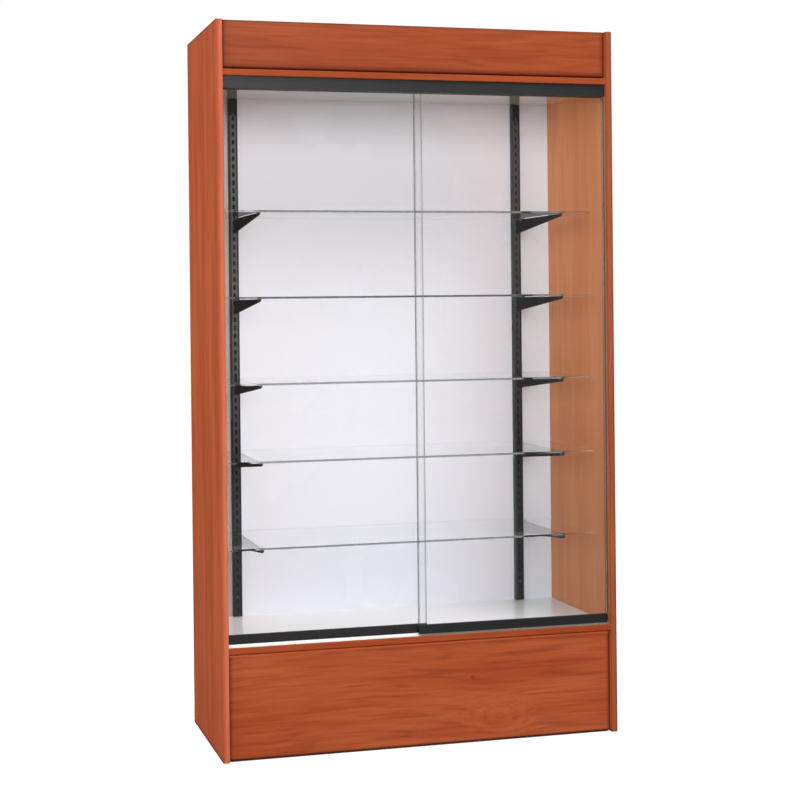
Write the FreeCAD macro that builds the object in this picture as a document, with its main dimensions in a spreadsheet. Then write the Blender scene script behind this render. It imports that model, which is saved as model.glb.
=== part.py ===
"""Tall wall display case with a solid header and base, glass shelves on slotted standards and two sliding glass doors.

Millimetres. The origin is on the floor, at the centre of the footprint. +Z is up, +X is the viewer's right and the
doors face -Y.
"""
import FreeCAD, Part
import os
import Sketcher

# Driving dimensions, in millimetres. Counts are plain numbers.
DRIVING = {
    # Case and boards
    "case_width": 1219.2,
    "case_height": 2133.6,
    "case_depth": 508.0,
    "board": 19.0,
    "housing": 6.0,
    "housing_stop": 15.0,
    "back_board": 16.0,
    "back_lap": 9.5,
    "back_play": 0.5,
    "back_gap": 2.0,
    "edge_band": 3.0,
    "edge_round": 2.5,
    "deck_top": 329.0,
    "ceiling_under": 1973.0,
    "ceiling_drop": 9.0,
    "track_let_in": 0.5,
    "board_recess": 1.5,
    "panel_recess": 12.0,
    "panel_gap": 1.5,
    "reveal": 4.0,
    "panel_round": 5.0,
    "floor_gap": 2.5,
    "cleat": 38.0,
    "cleat_inset": 8.0,
    # Slotted standards
    "standard_place": 473.0,
    "standard_width": 28.6,
    "standard_depth": 16.0,
    "standard_sheet": 1.6,
    "standard_gap": 1.0,
    "slot_width": 4.4,
    "slot_height": 13.5,
    "slot_pitch": 25.4,
    "slot_count": 62,
    "slot_first": 22.4,
    "screw_radius": 2.0,
    "screw_play": 0.3,
    "screw_head": 4.2,
    "screw_head_height": 2.4,
    "screw_grip": 14.0,
    "screw_first_slot": 1.5,
    "screw_slots": 30,
    "screw_count": 3,
    # Knife brackets and the soft rests on them
    "bracket_plate": 3.0,
    "bracket_reach": 394.0,
    "bracket_depth": 46.0,
    "bracket_nose": 7.0,
    "nose_round": 3.0,
    "hook_drop": 12.0,
    "hook_play": 0.1,
    "hook_neck": 10.6,
    "hook_tooth": 4.0,
    "hook_tip": 6.4,
    "hook_reach": 0.3,
    "rest_cap": 1.5,
    "rest_wall": 3.0,
    "rest_leg": 5.0,
    "rest_length": 18.0,
    "rest_inset": 40.0,
    "rest_from_tip": 2.0,
    # Glass shelves
    "shelf_length": 1140.0,
    "shelf_depth": 392.0,
    "shelf_glass": 6.0,
    "shelf_seam": 0.8,
    "shelf_rear_gap": 2.0,
    "shelf_first": 600.5,
    # Sliding doors and their tracks
    "door_glass": 6.0,
    "door_seam": 0.8,
    "door_width": 603.0,
    "door_stop_gap": 0.5,
    "door_head_gap": 14.0,
    "front_track": 24.0,
    "track_pitch": 22.0,
    "track_end_gap": 0.5,
    "track_wall": 2.0,
    "upper_height": 35.0,
    "upper_mouth": 9.0,
    "lower_base": 2.0,
    "lower_margin": 16.0,
    "rail_width": 2.4,
    "rail_height": 4.0,
    "bumper_thick": 3.0,
    "bumper_depth": 12.0,
    "bumper_round": 1.2,
    "bumper_gap": 3.0,
    # Door shoes and rollers
    "shoe_width": 12.0,
    "shoe_height": 26.0,
    "shoe_lift": 3.0,
    "shoe_skirt": 13.5,
    "skirt_wall": 1.5,
    "shoe_web": 1.5,
    "shoe_round": 0.8,
    "glazing": 1.0,
    "glazing_lip": 1.0,
    "roller_radius": 5.5,
    "roller_groove": 4.2,
    "roller_width": 6.6,
    "groove_width": 3.2,
    "roller_lift": 0.3,
    "roller_inset": 60.0,
    "axle_radius": 1.5,
    "axle_play": 0.05,
}

# Slots from each shelf to the next, counted from the lowest shelf upwards.
SHELF_STEPS = [0, 10, 9, 10, 10]
SIDES = {"left": -1, "right": 1}

doc = FreeCAD.newDocument("DisplayCase")
sheet = doc.addObject("Spreadsheet::Sheet", "Sizes")
nodes = []


class Size:
    """A length that carries its value together with the sheet formula that drives it."""

    def __init__(self, value, formula):
        self.value = value
        self.formula = formula

    def join(self, other, sign, value):
        return Size(value, f"({self.formula} {sign} {as_size(other).formula})")

    def __add__(self, other):
        return self.join(other, "+", self.value + as_size(other).value)

    def __sub__(self, other):
        return self.join(other, "-", self.value - as_size(other).value)

    def __mul__(self, other):
        return self.join(other, "*", self.value * as_size(other).value)

    def __truediv__(self, other):
        return self.join(other, "/", self.value / as_size(other).value)

    def __neg__(self):
        return self * -1

    def __radd__(self, other):
        return as_size(other) + self

    def __rsub__(self, other):
        return as_size(other) - self

    def __rmul__(self, other):
        return self * other


def as_size(number):
    """Wraps a plain number, so that it can stand in a formula."""
    if isinstance(number, Size):
        return number
    return Size(float(number), f"({float(number)})")


class Sizes:
    """The driving dimensions by name, each written to a cell of the sheet under its own alias."""

    def __init__(self, driving):
        for row, (name, value) in enumerate(driving.items(), start=1):
            sheet.set(f"A{row}", name)
            sheet.set(f"B{row}", str(value))
            sheet.setAlias(f"B{row}", name)
            setattr(self, name, Size(value, f"Sizes.{name}"))


d = Sizes(DRIVING)
doc.recompute()
ZERO = as_size(0)

# Places that several pieces share
inner = d.case_width / 2 - d.board
front = -(d.case_depth / 2)
rear = d.case_depth / 2
wall = rear - d.back_board
board_front = front + d.board_recess + d.edge_band
panel_front = front + d.panel_recess
panel_back = panel_front + d.board
panel_width = (inner - d.panel_gap) * 2
ceiling_low = d.ceiling_under - d.ceiling_drop
ceiling_top = d.ceiling_under + d.board
deck_under = d.deck_top - d.board
standard_face = wall - d.standard_depth
standard_foot = d.deck_top + d.standard_gap
standard_length = ceiling_low - d.deck_top - d.standard_gap * 2
door_place = {"right": front + d.front_track, "left": front + d.front_track + d.track_pitch}
track_rear = door_place["left"] + (d.track_pitch + d.track_wall) / 2
rebate_rear = track_rear + d.track_let_in
door_outer = inner - d.bumper_thick - d.door_stop_gap
shoe_foot = d.deck_top + d.shoe_lift
shoe_top = shoe_foot + d.shoe_height
pocket_floor = shoe_foot + d.shoe_skirt + d.shoe_web
glass_foot = pocket_floor + d.glazing
glass_top = d.ceiling_under - d.track_wall - d.door_head_gap
rail_top = d.deck_top + d.lower_base + d.rail_height
axle_height = rail_top + d.roller_lift + d.roller_groove


def bind(obj, **lengths):
    """Drives properties of an object from the sheet."""
    for name, length in lengths.items():
        obj.setExpression(name, as_size(length).formula)


def place(obj, x=0, y=0, z=0):
    """Drives where an object sits in the case."""
    for axis, length in zip("xyz", (x, y, z)):
        obj.setExpression(f"Placement.Base.{axis}", as_size(length).formula)


def keep(obj, label):
    """Names a finished sub-part and puts it on the list of nodes."""
    obj.Label = label
    nodes.append(obj)
    return obj


def origin_part(body, role):
    """One of a body's own origin planes or axes."""
    return next(part for part in body.Origin.OriginFeatures if part.Role == role)


def new_sketch(body, role):
    """An empty sketch on one of a body's origin planes."""
    sketch = body.newObject("Sketcher::SketchObject", f"{body.Name}_sketch")
    sketch.AttachmentSupport = [(origin_part(body, role), "")]
    sketch.MapMode = "FlatFace"
    return sketch


def drive_point(sketch, geometry, vertex, u, v):
    """Holds a sketch point at a place that the sheet drives."""
    for kind, length in (("DistanceX", u), ("DistanceY", v)):
        length = as_size(length)
        number = sketch.addConstraint(Sketcher.Constraint(kind, -1, 1, geometry, vertex, length.value))
        sketch.setExpression(f"Constraints[{number}]", length.formula)


def outline(body, role, points):
    """A closed outline of straight edges through driven points."""
    sketch = new_sketch(body, role)
    spots = [FreeCAD.Vector(as_size(u).value, as_size(v).value, 0) for u, v in points]
    count = len(spots)
    for i in range(count):
        sketch.addGeometry(Part.LineSegment(spots[i], spots[(i + 1) % count]))
    for i in range(count):
        sketch.addConstraint(Sketcher.Constraint("Coincident", i, 2, (i + 1) % count, 1))
    for i, (u, v) in enumerate(points):
        drive_point(sketch, i, 1, u, v)
    return sketch


def circles(body, role, centres, radius):
    """A sketch of equal circles at driven centres."""
    sketch = new_sketch(body, role)
    for i, (u, v) in enumerate(centres):
        centre = FreeCAD.Vector(as_size(u).value, as_size(v).value, 0)
        sketch.addGeometry(Part.Circle(centre, FreeCAD.Vector(0, 0, 1), radius.value))
        number = sketch.addConstraint(Sketcher.Constraint("Radius", i, radius.value))
        sketch.setExpression(f"Constraints[{number}]", radius.formula)
        drive_point(sketch, i, 3, u, v)
    return sketch


def rectangle(u0, u1, v0, v1):
    """The corners of a rectangle, anticlockwise."""
    return [(u0, v0), (u1, v0), (u1, v1), (u0, v1)]


def padded(label, role, points, length):
    """A body with one outline padded to a length."""
    body = doc.addObject("PartDesign::Body", label)
    pad = body.newObject("PartDesign::Pad", f"{label}_pad")
    pad.Profile = outline(body, role, points)
    bind(pad, Length=length)
    doc.recompute()
    return body


def pocketed(body, sketch, depth, both_ways=False):
    """Cuts a sketch into a body, turning the cut round if it would miss the solid."""
    before = body.Shape.Volume
    pocket = body.newObject("PartDesign::Pocket", f"{body.Name}_pocket")
    pocket.Profile = sketch
    if both_ways:
        pocket.SideType = "Symmetric"
    bind(pocket, Length=depth)
    doc.recompute()
    if body.Shape.Volume > before - 1e-3:
        pocket.Reversed = True
        doc.recompute()
    if body.Shape.Volume > before - 1e-3:
        raise RuntimeError(f"{body.Label}: the pocket cuts nothing")
    return pocket


def patterned(body, feature, step, count):
    """Repeats a feature along the body's own Z axis."""
    pattern = body.newObject("PartDesign::LinearPattern", f"{feature.Name}_row")
    pattern.Originals = [feature]
    pattern.Direction = (origin_part(body, "Z_Axis"), [""])
    bind(pattern, Length=step * (count - 1), Occurrences=count)
    body.Tip = pattern
    doc.recompute()
    return pattern


def edge_names(shape, wanted):
    """Names of the edges whose middle and direction pass a test."""
    names = []
    for number, edge in enumerate(shape.Edges, start=1):
        middle = edge.CenterOfMass
        along = edge.Vertexes[-1].Point - edge.Vertexes[0].Point
        if along.Length > 0 and wanted(middle, along.normalize()):
            names.append(f"Edge{number}")
    return names


def eased(body, kind, size, wanted):
    """Rounds or bevels chosen edges of a body. Kind is Fillet or Chamfer."""
    base = body.Tip
    names = edge_names(base.Shape, wanted)
    if not names:
        raise RuntimeError(f"{body.Label}: no edge to ease")
    feature = body.newObject(f"PartDesign::{kind}", f"{body.Name}_{kind.lower()}")
    feature.Base = (base, names)
    bind(feature, **{"Radius" if kind == "Fillet" else "Size": size})
    body.Tip = feature
    doc.recompute()
    if feature.Shape.isNull():
        raise RuntimeError(f"{body.Label}: the edges could not be eased")
    return feature


def box(label, x0, x1, y0, y1, z0, z1):
    """A plain board between two corners."""
    board = doc.addObject("Part::Box", label)
    bind(board, Length=as_size(x1) - x0, Width=as_size(y1) - y0, Height=as_size(z1) - z0)
    place(board, x0, y0, z0)
    return board


TURNS = {
    "x": FreeCAD.Rotation(FreeCAD.Vector(0, 1, 0), 90),
    "y": FreeCAD.Rotation(FreeCAD.Vector(1, 0, 0), -90),
    "z": FreeCAD.Rotation(),
}


def rod(label, along, radius, length, x, y, z):
    """A round rod that starts at a point and runs along +X, +Y or +Z."""
    cylinder = doc.addObject("Part::Cylinder", label)
    cylinder.Placement = FreeCAD.Placement(FreeCAD.Vector(), TURNS[along])
    bind(cylinder, Radius=radius, Height=length)
    place(cylinder, x, y, z)
    return cylinder


def group(label, pieces):
    """Separate solids that share one node."""
    compound = doc.addObject("Part::Compound", label)
    compound.Links = pieces
    return keep(compound, label)


def build_shelf_board(label, z0, thickness):
    """A board between the sides, with ends that sit in the sides' housings and shoulders that hide them in front."""
    end = inner + d.housing
    shoulder = front + d.housing_stop
    points = [
        (-inner, board_front),
        (inner, board_front),
        (inner, shoulder),
        (end, shoulder),
        (end, wall),
        (-end, wall),
        (-end, shoulder),
        (-inner, shoulder),
    ]
    board = padded(label, "XY_Plane", points, thickness)
    place(board, ZERO, ZERO, z0)
    return keep(board, label)


def build_ceiling():
    """Thicker board over the shelves, rebated along the front of its underside for the upper track."""
    board = build_shelf_board("ceiling_board", ceiling_low, d.board + d.ceiling_drop)
    end = inner + d.housing * 2
    rebate = outline(board, "XY_Plane", rectangle(-end, end, front, rebate_rear))
    pocketed(board, rebate, d.ceiling_drop)


def build_side_panel(side):
    """Full-height side, rebated for the back and housed for the boards, with a rounded band on its front edge."""
    sign = SIDES[side]
    lap = (d.back_lap + d.back_play) * sign
    thick = d.board * sign
    points = [
        (ZERO, front + d.edge_band),
        (thick, front + d.edge_band),
        (thick, rear),
        (lap, rear),
        (lap, wall),
        (ZERO, wall),
    ]
    panel = padded(f"{side}_side_panel", "XY_Plane", points, d.case_height)
    stop = front + d.housing_stop
    ceiling_end = [
        (stop, d.ceiling_under),
        (rebate_rear, d.ceiling_under),
        (rebate_rear, ceiling_low),
        (wall, ceiling_low),
        (wall, ceiling_top),
        (stop, ceiling_top),
    ]
    deck_end = rectangle(stop, wall, deck_under, d.deck_top)
    top_end = rectangle(panel_back, wall, d.case_height - d.board, d.case_height)
    for end in (deck_end, ceiling_end, top_end):
        pocketed(panel, outline(panel, "YZ_Plane", end), d.housing)
    place(panel, inner * sign)
    keep(panel, f"{side}_side_panel")
    band_points = rectangle(ZERO, d.board, ZERO, d.edge_band)
    band = padded(f"{side}_edge_band", "XY_Plane", band_points, d.case_height)
    eased(band, "Fillet", d.edge_round, lambda middle, along: abs(along.z) > 0.9 and middle.y < 0.1)
    place(band, inner if sign > 0 else -inner - d.board, front)
    keep(band, f"{side}_edge_band")


def build_board_band(label, z0):
    """Rounded band glued to the front edge of the deck or the ceiling."""
    points = rectangle(ZERO, d.edge_band, ZERO, d.board)
    band = padded(label, "YZ_Plane", points, inner * 2)
    eased(band, "Fillet", d.edge_round, lambda middle, along: abs(along.x) > 0.9 and middle.y < 0.1)
    place(band, -inner, front + d.board_recess, z0)
    keep(band, label)


def build_front_panel(label, z0, z1):
    """Recessed front panel with rounded front edges: the header fascia or the kick panel."""
    points = rectangle(-panel_width / 2, panel_width / 2, ZERO, z1 - z0)
    panel = padded(label, "XZ_Plane", points, d.board)
    eased(panel, "Fillet", d.panel_round, lambda middle, along: middle.y < 0.1 - d.board.value)
    place(panel, ZERO, panel_back, z0)
    keep(panel, label)


def build_cleats(label, z0, z1):
    """Glued corner blocks that hold a front panel to the sides."""
    blocks = []
    for side, sign in SIDES.items():
        near = inner * sign
        far = (inner - d.cleat) * sign
        x0, x1 = (far, near) if sign > 0 else (near, far)
        blocks.append(box(f"{label}_{side}", x0, x1, panel_back, panel_back + d.cleat, z0, z1))
    group(label, blocks)


def build_carcass():
    """Boards that make the box of the case."""
    for side in SIDES:
        build_side_panel(side)
    build_shelf_board("base_deck", deck_under, d.board)
    build_ceiling()
    build_board_band("deck_edge_band", deck_under)
    build_board_band("ceiling_edge_band", d.ceiling_under)
    build_front_panel("kick_panel", d.floor_gap, deck_under - d.reveal)
    build_front_panel("header_fascia", ceiling_top + d.reveal, d.case_height)
    end = inner + d.housing
    keep(box("top_panel", -end, end, panel_back, wall, d.case_height - d.board, d.case_height), "top_panel")
    keep(box("deck_support", -d.board / 2, d.board / 2, panel_back, wall, ZERO, deck_under), "deck_support")
    build_cleats("kick_cleats", d.cleat_inset, deck_under - d.cleat_inset)
    build_cleats("header_cleats", ceiling_top + d.cleat_inset, d.case_height - d.board - d.cleat_inset)


def screw_spots():
    """Places of the standards' screws, each midway between two slots."""
    first = standard_foot + d.slot_first + d.slot_pitch * d.screw_first_slot
    heights = [first + d.slot_pitch * d.screw_slots * i for i in range(DRIVING["screw_count"])]
    return [(sign, height) for sign in SIDES.values() for height in heights]


def build_back():
    """Back panel let into the rebates of the sides."""
    half = inner + d.back_lap
    panel = box("back_panel", -half, half, wall, rear, d.back_gap, d.case_height - d.back_gap)
    keep(panel, "back_panel")


def build_standard(side):
    """Folded channel with a row of slots down its web and screw holes between them."""
    half = d.standard_width / 2
    inside = half - d.standard_sheet
    points = [
        (-half, ZERO),
        (half, ZERO),
        (half, d.standard_depth),
        (inside, d.standard_depth),
        (inside, d.standard_sheet),
        (-inside, d.standard_sheet),
        (-inside, d.standard_depth),
        (-half, d.standard_depth),
    ]
    standard = padded(f"{side}_standard", "XY_Plane", points, standard_length)
    low = d.slot_first - d.slot_height / 2
    slot = outline(standard, "XZ_Plane", rectangle(-d.slot_width / 2, d.slot_width / 2, low, low + d.slot_height))
    slots = pocketed(standard, slot, d.standard_sheet * 2)
    patterned(standard, slots, d.slot_pitch, d.slot_count)
    hole_height = d.slot_first + d.slot_pitch * d.screw_first_slot
    hole = circles(standard, "XZ_Plane", [(ZERO, hole_height)], d.screw_radius + d.screw_play)
    holes = pocketed(standard, hole, d.standard_sheet * 2)
    patterned(standard, holes, d.slot_pitch * d.screw_slots, d.screw_count)
    place(standard, d.standard_place * SIDES[side], standard_face, standard_foot)
    keep(standard, f"{side}_standard")


def build_screws():
    """Screws that hold the standards to the back, with flat pan heads."""
    screws = []
    for i, (sign, height) in enumerate(screw_spots()):
        x = d.standard_place * sign
        start = standard_face - d.screw_head_height
        head = rod(f"screw_head_{i}", "y", d.screw_head, d.screw_head_height, x, start, height)
        length = d.standard_depth + d.screw_grip
        shank = rod(f"screw_shank_{i}", "y", d.screw_radius, length, x, standard_face, height)
        screw = doc.addObject("Part::Fuse", f"screw_{i}")
        screw.Base = head
        screw.Tool = shank
        screw.Refine = True
        screws.append(screw)
    group("standard_screws", screws)


def shelf_tops():
    """Height of each shelf's top face, from the lowest up. The shelves keep the slots' pitch."""
    height = d.shelf_first
    tops = []
    for steps in SHELF_STEPS:
        height = height + d.slot_pitch * steps
        tops.append(height)
    return tops


def hook(centre):
    """One hook of a bracket, from its top to its tip: a neck through the slot and a tooth behind the web."""
    seat = centre - d.slot_height / 2 + d.hook_play
    inside = d.standard_sheet + d.hook_reach
    return [
        (-d.hook_play, seat + d.hook_neck),
        (inside + d.hook_tooth, seat + d.hook_neck),
        (inside + d.hook_tooth, seat - d.hook_tip),
        (inside, seat - d.hook_tip),
        (inside, seat),
        (-d.hook_play, seat),
    ]


def build_bracket(label, sign, top):
    """Knife bracket: two hooks and a straight underside that tapers to a low, rounded nose."""
    heel = -d.hook_play
    tip = -d.bracket_reach
    points = [(heel, ZERO)]
    points += hook(-d.hook_drop)
    points += hook(-d.hook_drop - d.slot_pitch)
    points += [
        (heel, -d.bracket_depth),
        (tip, -d.bracket_nose),
        (tip, ZERO),
    ]
    bracket = padded(label, "YZ_Plane", points, d.bracket_plate)
    nose = 1 - d.bracket_reach.value
    eased(
        bracket,
        "Fillet",
        d.nose_round,
        lambda middle, along: abs(along.x) > 0.9 and middle.y < nose and middle.z < -1,
    )
    place(bracket, d.standard_place * sign - d.bracket_plate / 2, standard_face, top)
    keep(bracket, label)


def rest_clip(label, sign, y, top):
    """Soft clip that straddles a bracket's top edge and carries the glass."""
    half = d.bracket_plate / 2 + d.hook_play
    wide = half + d.rest_wall
    points = [
        (-wide, -d.rest_leg),
        (-half, -d.rest_leg),
        (-half, ZERO),
        (half, ZERO),
        (half, -d.rest_leg),
        (wide, -d.rest_leg),
        (wide, d.rest_cap),
        (-wide, d.rest_cap),
    ]
    clip = padded(label, "XZ_Plane", points, d.rest_length)
    place(clip, d.standard_place * sign, y, top)
    return clip


def build_shelves():
    """Five loose glass shelves, each on two brackets with a pair of rests."""
    rests = []
    rear_rest = standard_face - d.rest_inset
    front_rest = standard_face - d.bracket_reach + d.rest_from_tip + d.rest_length
    for number, shelf_top in enumerate(shelf_tops(), start=1):
        glass_under = shelf_top - d.shelf_glass
        bracket_top = glass_under - d.rest_cap
        for side, sign in SIDES.items():
            build_bracket(f"{side}_bracket_{number}", sign, bracket_top)
            for end, y in (("rear", rear_rest), ("front", front_rest)):
                rests.append(rest_clip(f"rest_{side}_{number}_{end}", sign, y, bracket_top))
        half = d.shelf_length / 2
        points = rectangle(-half, half, -d.shelf_depth, ZERO)
        shelf = padded(f"glass_shelf_{number}", "XY_Plane", points, d.shelf_glass)
        eased(shelf, "Chamfer", d.shelf_seam, lambda middle, along: abs(along.z) < 0.1)
        place(shelf, ZERO, standard_face - d.shelf_rear_gap, glass_under)
        keep(shelf, f"glass_shelf_{number}")
    group("shelf_rests", rests)


def build_upper_track():
    """Double guide channel under the ceiling, with inward lips that leave a mouth for each door."""
    half = d.track_wall / 2
    top = ZERO
    roof = -d.track_wall
    foot = -d.upper_height
    lip = foot + d.track_wall
    pitch = d.track_pitch
    reach = (pitch - d.upper_mouth) / 2
    points = [
        (-pitch - half, top),
        (-pitch - half, foot),
        (-pitch + reach, foot),
        (-pitch + reach, lip),
        (-pitch + half, lip),
        (-pitch + half, roof),
        (-half, roof),
        (-half, lip),
        (-reach, lip),
        (-reach, foot),
        (reach, foot),
        (reach, lip),
        (half, lip),
        (half, roof),
        (pitch - half, roof),
        (pitch - half, lip),
        (pitch - reach, lip),
        (pitch - reach, foot),
        (pitch + half, foot),
        (pitch + half, top),
    ]
    length = (inner - d.track_end_gap) * 2
    track = padded("upper_track", "YZ_Plane", points, length)
    middle = door_place["right"] + d.track_pitch / 2
    place(track, -length / 2, middle, d.ceiling_under)
    keep(track, "upper_track")


def build_lower_track():
    """Low double rail on the deck, with bevelled edges."""
    near = -d.lower_margin
    far = d.track_pitch + d.lower_margin
    bevel = d.lower_base / 2
    half = d.rail_width / 2
    top = d.lower_base + d.rail_height
    points = [(near, ZERO), (far, ZERO), (far, bevel), (far - bevel, d.lower_base)]
    for centre in (d.track_pitch, ZERO):
        points += [
            (centre + half, d.lower_base),
            (centre + half, top),
            (centre - half, top),
            (centre - half, d.lower_base),
        ]
    points += [(near + bevel, d.lower_base), (near, bevel)]
    length = (inner - d.track_end_gap) * 2
    track = padded("lower_track", "YZ_Plane", points, length)
    place(track, -length / 2, door_place["right"], d.deck_top)
    keep(track, "lower_track")


def build_bumper(side):
    """Soft strip down the jamb, which the closed door meets."""
    sign = SIDES[side]
    low = shoe_top + d.bumper_gap
    high = d.ceiling_under - d.upper_height - d.bumper_gap
    points = rectangle(ZERO, d.bumper_thick, ZERO, d.bumper_depth)
    bumper = padded(f"{side}_jamb_bumper", "XY_Plane", points, high - low)
    face = d.bumper_thick.value if sign < 0 else 0
    eased(bumper, "Fillet", d.bumper_round, lambda middle, along: abs(along.z) > 0.9 and abs(middle.x - face) < 0.1)
    y = door_place[side] - d.bumper_depth / 2
    place(bumper, -inner if sign < 0 else inner - d.bumper_thick, y, low)
    keep(bumper, f"{side}_jamb_bumper")


def build_shoe(label, x0, y, roller_places):
    """Extruded shoe: a pocket for the glass above, and a skirt round the rollers below."""
    half = d.shoe_width / 2
    skirt = half - d.skirt_wall
    pocket = d.door_glass / 2 + d.glazing
    floor = d.shoe_skirt + d.shoe_web
    points = [
        (-half, ZERO),
        (-skirt, ZERO),
        (-skirt, d.shoe_skirt),
        (skirt, d.shoe_skirt),
        (skirt, ZERO),
        (half, ZERO),
        (half, d.shoe_height),
        (pocket, d.shoe_height),
        (pocket, floor),
        (-pocket, floor),
        (-pocket, d.shoe_height),
        (-half, d.shoe_height),
    ]
    shoe = padded(label, "YZ_Plane", points, d.door_width)
    outer = d.shoe_width.value / 2 - 0.1
    eased(
        shoe,
        "Fillet",
        d.shoe_round,
        lambda middle, along: abs(along.x) > 0.9 and abs(middle.y) > outer and middle.z > outer,
    )
    holes = [(spot, axle_height - shoe_foot) for spot in roller_places]
    pocketed(shoe, circles(shoe, "XZ_Plane", holes, d.axle_radius), d.shoe_width + 1, both_ways=True)
    place(shoe, x0, y, shoe_foot)
    keep(shoe, label)


def build_roller(label, x, y):
    """Grooved roller that runs astride the rail."""
    edge = d.roller_width / 2
    groove = d.groove_width / 2
    bore = d.axle_radius + d.axle_play
    points = [
        (bore, -edge),
        (d.roller_radius, -edge),
        (d.roller_radius, -groove),
        (d.roller_groove, -groove),
        (d.roller_groove, groove),
        (d.roller_radius, groove),
        (d.roller_radius, edge),
        (bore, edge),
    ]
    roller = doc.addObject("PartDesign::Body", label)
    turned = roller.newObject("PartDesign::Revolution", f"{label}_turned")
    turned.Profile = outline(roller, "XY_Plane", points)
    turned.ReferenceAxis = (origin_part(roller, "Y_Axis"), [""])
    turned.Angle = 360
    doc.recompute()
    place(roller, x, y, axle_height)
    keep(roller, label)


def build_door(side):
    """Sliding door: glass in a vinyl lining, held by a shoe that runs on two rollers."""
    y = door_place[side]
    x0 = -door_outer if side == "left" else door_outer - d.door_width
    half = d.door_glass / 2
    glass = padded(f"{side}_door_glass", "XZ_Plane", rectangle(ZERO, d.door_width, ZERO, glass_top - glass_foot), d.door_glass)
    top = (glass_top - glass_foot).value - 0.1
    width = d.door_width.value
    eased(
        glass,
        "Chamfer",
        d.door_seam,
        lambda middle, along: abs(along.y) < 0.1 and (middle.z > top or min(middle.x, width - middle.x) < 0.1),
    )
    place(glass, x0, y + half, glass_foot)
    keep(glass, f"{side}_door_glass")

    wide = half + d.glazing
    lip = wide + d.glazing_lip
    rise = shoe_top - pocket_floor
    lining = [
        (-wide, ZERO),
        (wide, ZERO),
        (wide, rise),
        (lip, rise),
        (lip, rise + d.glazing_lip / 2),
        (half, rise + d.glazing_lip),
        (half, d.glazing),
        (-half, d.glazing),
        (-half, rise + d.glazing_lip),
        (-lip, rise + d.glazing_lip / 2),
        (-lip, rise),
        (-wide, rise),
    ]
    glazing = padded(f"{side}_door_glazing", "YZ_Plane", lining, d.door_width)
    place(glazing, x0, y, pocket_floor)
    keep(glazing, f"{side}_door_glazing")

    roller_places = [d.roller_inset, d.door_width - d.roller_inset]
    build_shoe(f"{side}_door_shoe", x0, y, roller_places)
    axles = []
    for end, spot in zip(("left", "right"), roller_places):
        build_roller(f"{side}_door_{end}_roller", x0 + spot, y)
        start = y - d.shoe_width / 2
        axles.append(rod(f"axle_{side}_{end}", "y", d.axle_radius, d.shoe_width, x0 + spot, start, axle_height))
    group(f"{side}_door_axles", axles)


def check_document():
    """Stops the build if any object failed, or if a sub-part has no valid solid."""
    for obj in doc.Objects:
        if {"Invalid", "Error"} & set(obj.State):
            raise RuntimeError(f"{obj.Label} failed: {obj.State}")
    for node in nodes:
        if node.Shape.isNull() or not node.Shape.isValid() or not node.Shape.Solids:
            raise RuntimeError(f"{node.Label} has no valid solid")


build_carcass()
build_back()
for side in SIDES:
    build_standard(side)
build_screws()
build_shelves()
build_upper_track()
build_lower_track()
for side in SIDES:
    build_bumper(side)
    build_door(side)
doc.recompute()
check_document()

os.makedirs("parts", exist_ok=True)
for node in nodes:
    node.Shape.exportStep(f"parts/{node.Label}.step")
print(f"{len(nodes)} sub-parts, {sum(len(node.Shape.Solids) for node in nodes)} solids")
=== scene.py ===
"""Looks of a tall wall display case, put on the solids of the frame.

Cherry laminate, white melamine, float glass, black steel and anodised tracks.
"""

import logging
import math
from abc import ABC, abstractmethod
from collections.abc import Iterable, Mapping, Sequence
from dataclasses import dataclass, field
from enum import Enum
from functools import reduce
from typing import Any, ClassVar

import bmesh
import bpy
from mathutils import Matrix, Vector


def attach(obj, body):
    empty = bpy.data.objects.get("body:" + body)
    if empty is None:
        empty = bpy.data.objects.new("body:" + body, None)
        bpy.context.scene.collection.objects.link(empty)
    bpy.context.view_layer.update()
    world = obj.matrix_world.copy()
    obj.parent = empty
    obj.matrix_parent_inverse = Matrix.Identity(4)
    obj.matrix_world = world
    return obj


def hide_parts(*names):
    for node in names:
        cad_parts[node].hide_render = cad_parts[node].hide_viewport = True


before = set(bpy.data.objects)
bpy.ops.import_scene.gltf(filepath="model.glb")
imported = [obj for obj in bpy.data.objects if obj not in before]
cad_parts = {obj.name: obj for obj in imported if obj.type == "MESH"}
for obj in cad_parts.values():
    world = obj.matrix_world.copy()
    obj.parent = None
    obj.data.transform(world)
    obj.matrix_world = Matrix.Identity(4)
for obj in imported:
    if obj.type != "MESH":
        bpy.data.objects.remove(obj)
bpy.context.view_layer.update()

LOG = logging.getLogger("display_case")

Colour = tuple[float, float, float]
Trio = tuple[float, float, float]
Span = tuple[float, float]
Link = bpy.types.NodeSocket
Given = Mapping[Any, Any]
Ring = list[bmesh.types.BMVert]

# Lengths are in metres, as in the frame. A step is how far a change of colour runs, and the skin is how deep
# the shades of the back's inner face go. A noise has finer layers, and most of its values lie in its span.
SHARP_STEP = 0.001
SOFT_STEP = 0.004
BACK_SKIN = 0.002
FEW_LAYERS = 2.0
MANY_LAYERS = 3.0
ORIGIN: Trio = (0.0, 0.0, 0.0)
FAR_BELOW: Trio = (0.0, 0.0, -9.0)
NOISE_SPAN: Span = (0.3, 0.7)
SMOOTH_ANGLE = math.radians(35.0)
QUARTER_TURNS = ((1, 0), (0, 1), (-1, 0), (0, -1))


def srgb(red: int, green: int, blue: int) -> Colour:
    """Turns a colour as seen on a screen into the linear colour that a shader takes.

    Args:
        red: Red, from 0 to 255.
        green: Green, from 0 to 255.
        blue: Blue, from 0 to 255.

    Returns:
        The linear colour.
    """
    def linear(step: int) -> float:
        """One channel, linear."""
        part = step / 255.0
        return part / 12.92 if part <= 0.04045 else ((part + 0.055) / 1.055) ** 2.4

    return linear(red), linear(green), linear(blue)


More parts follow.
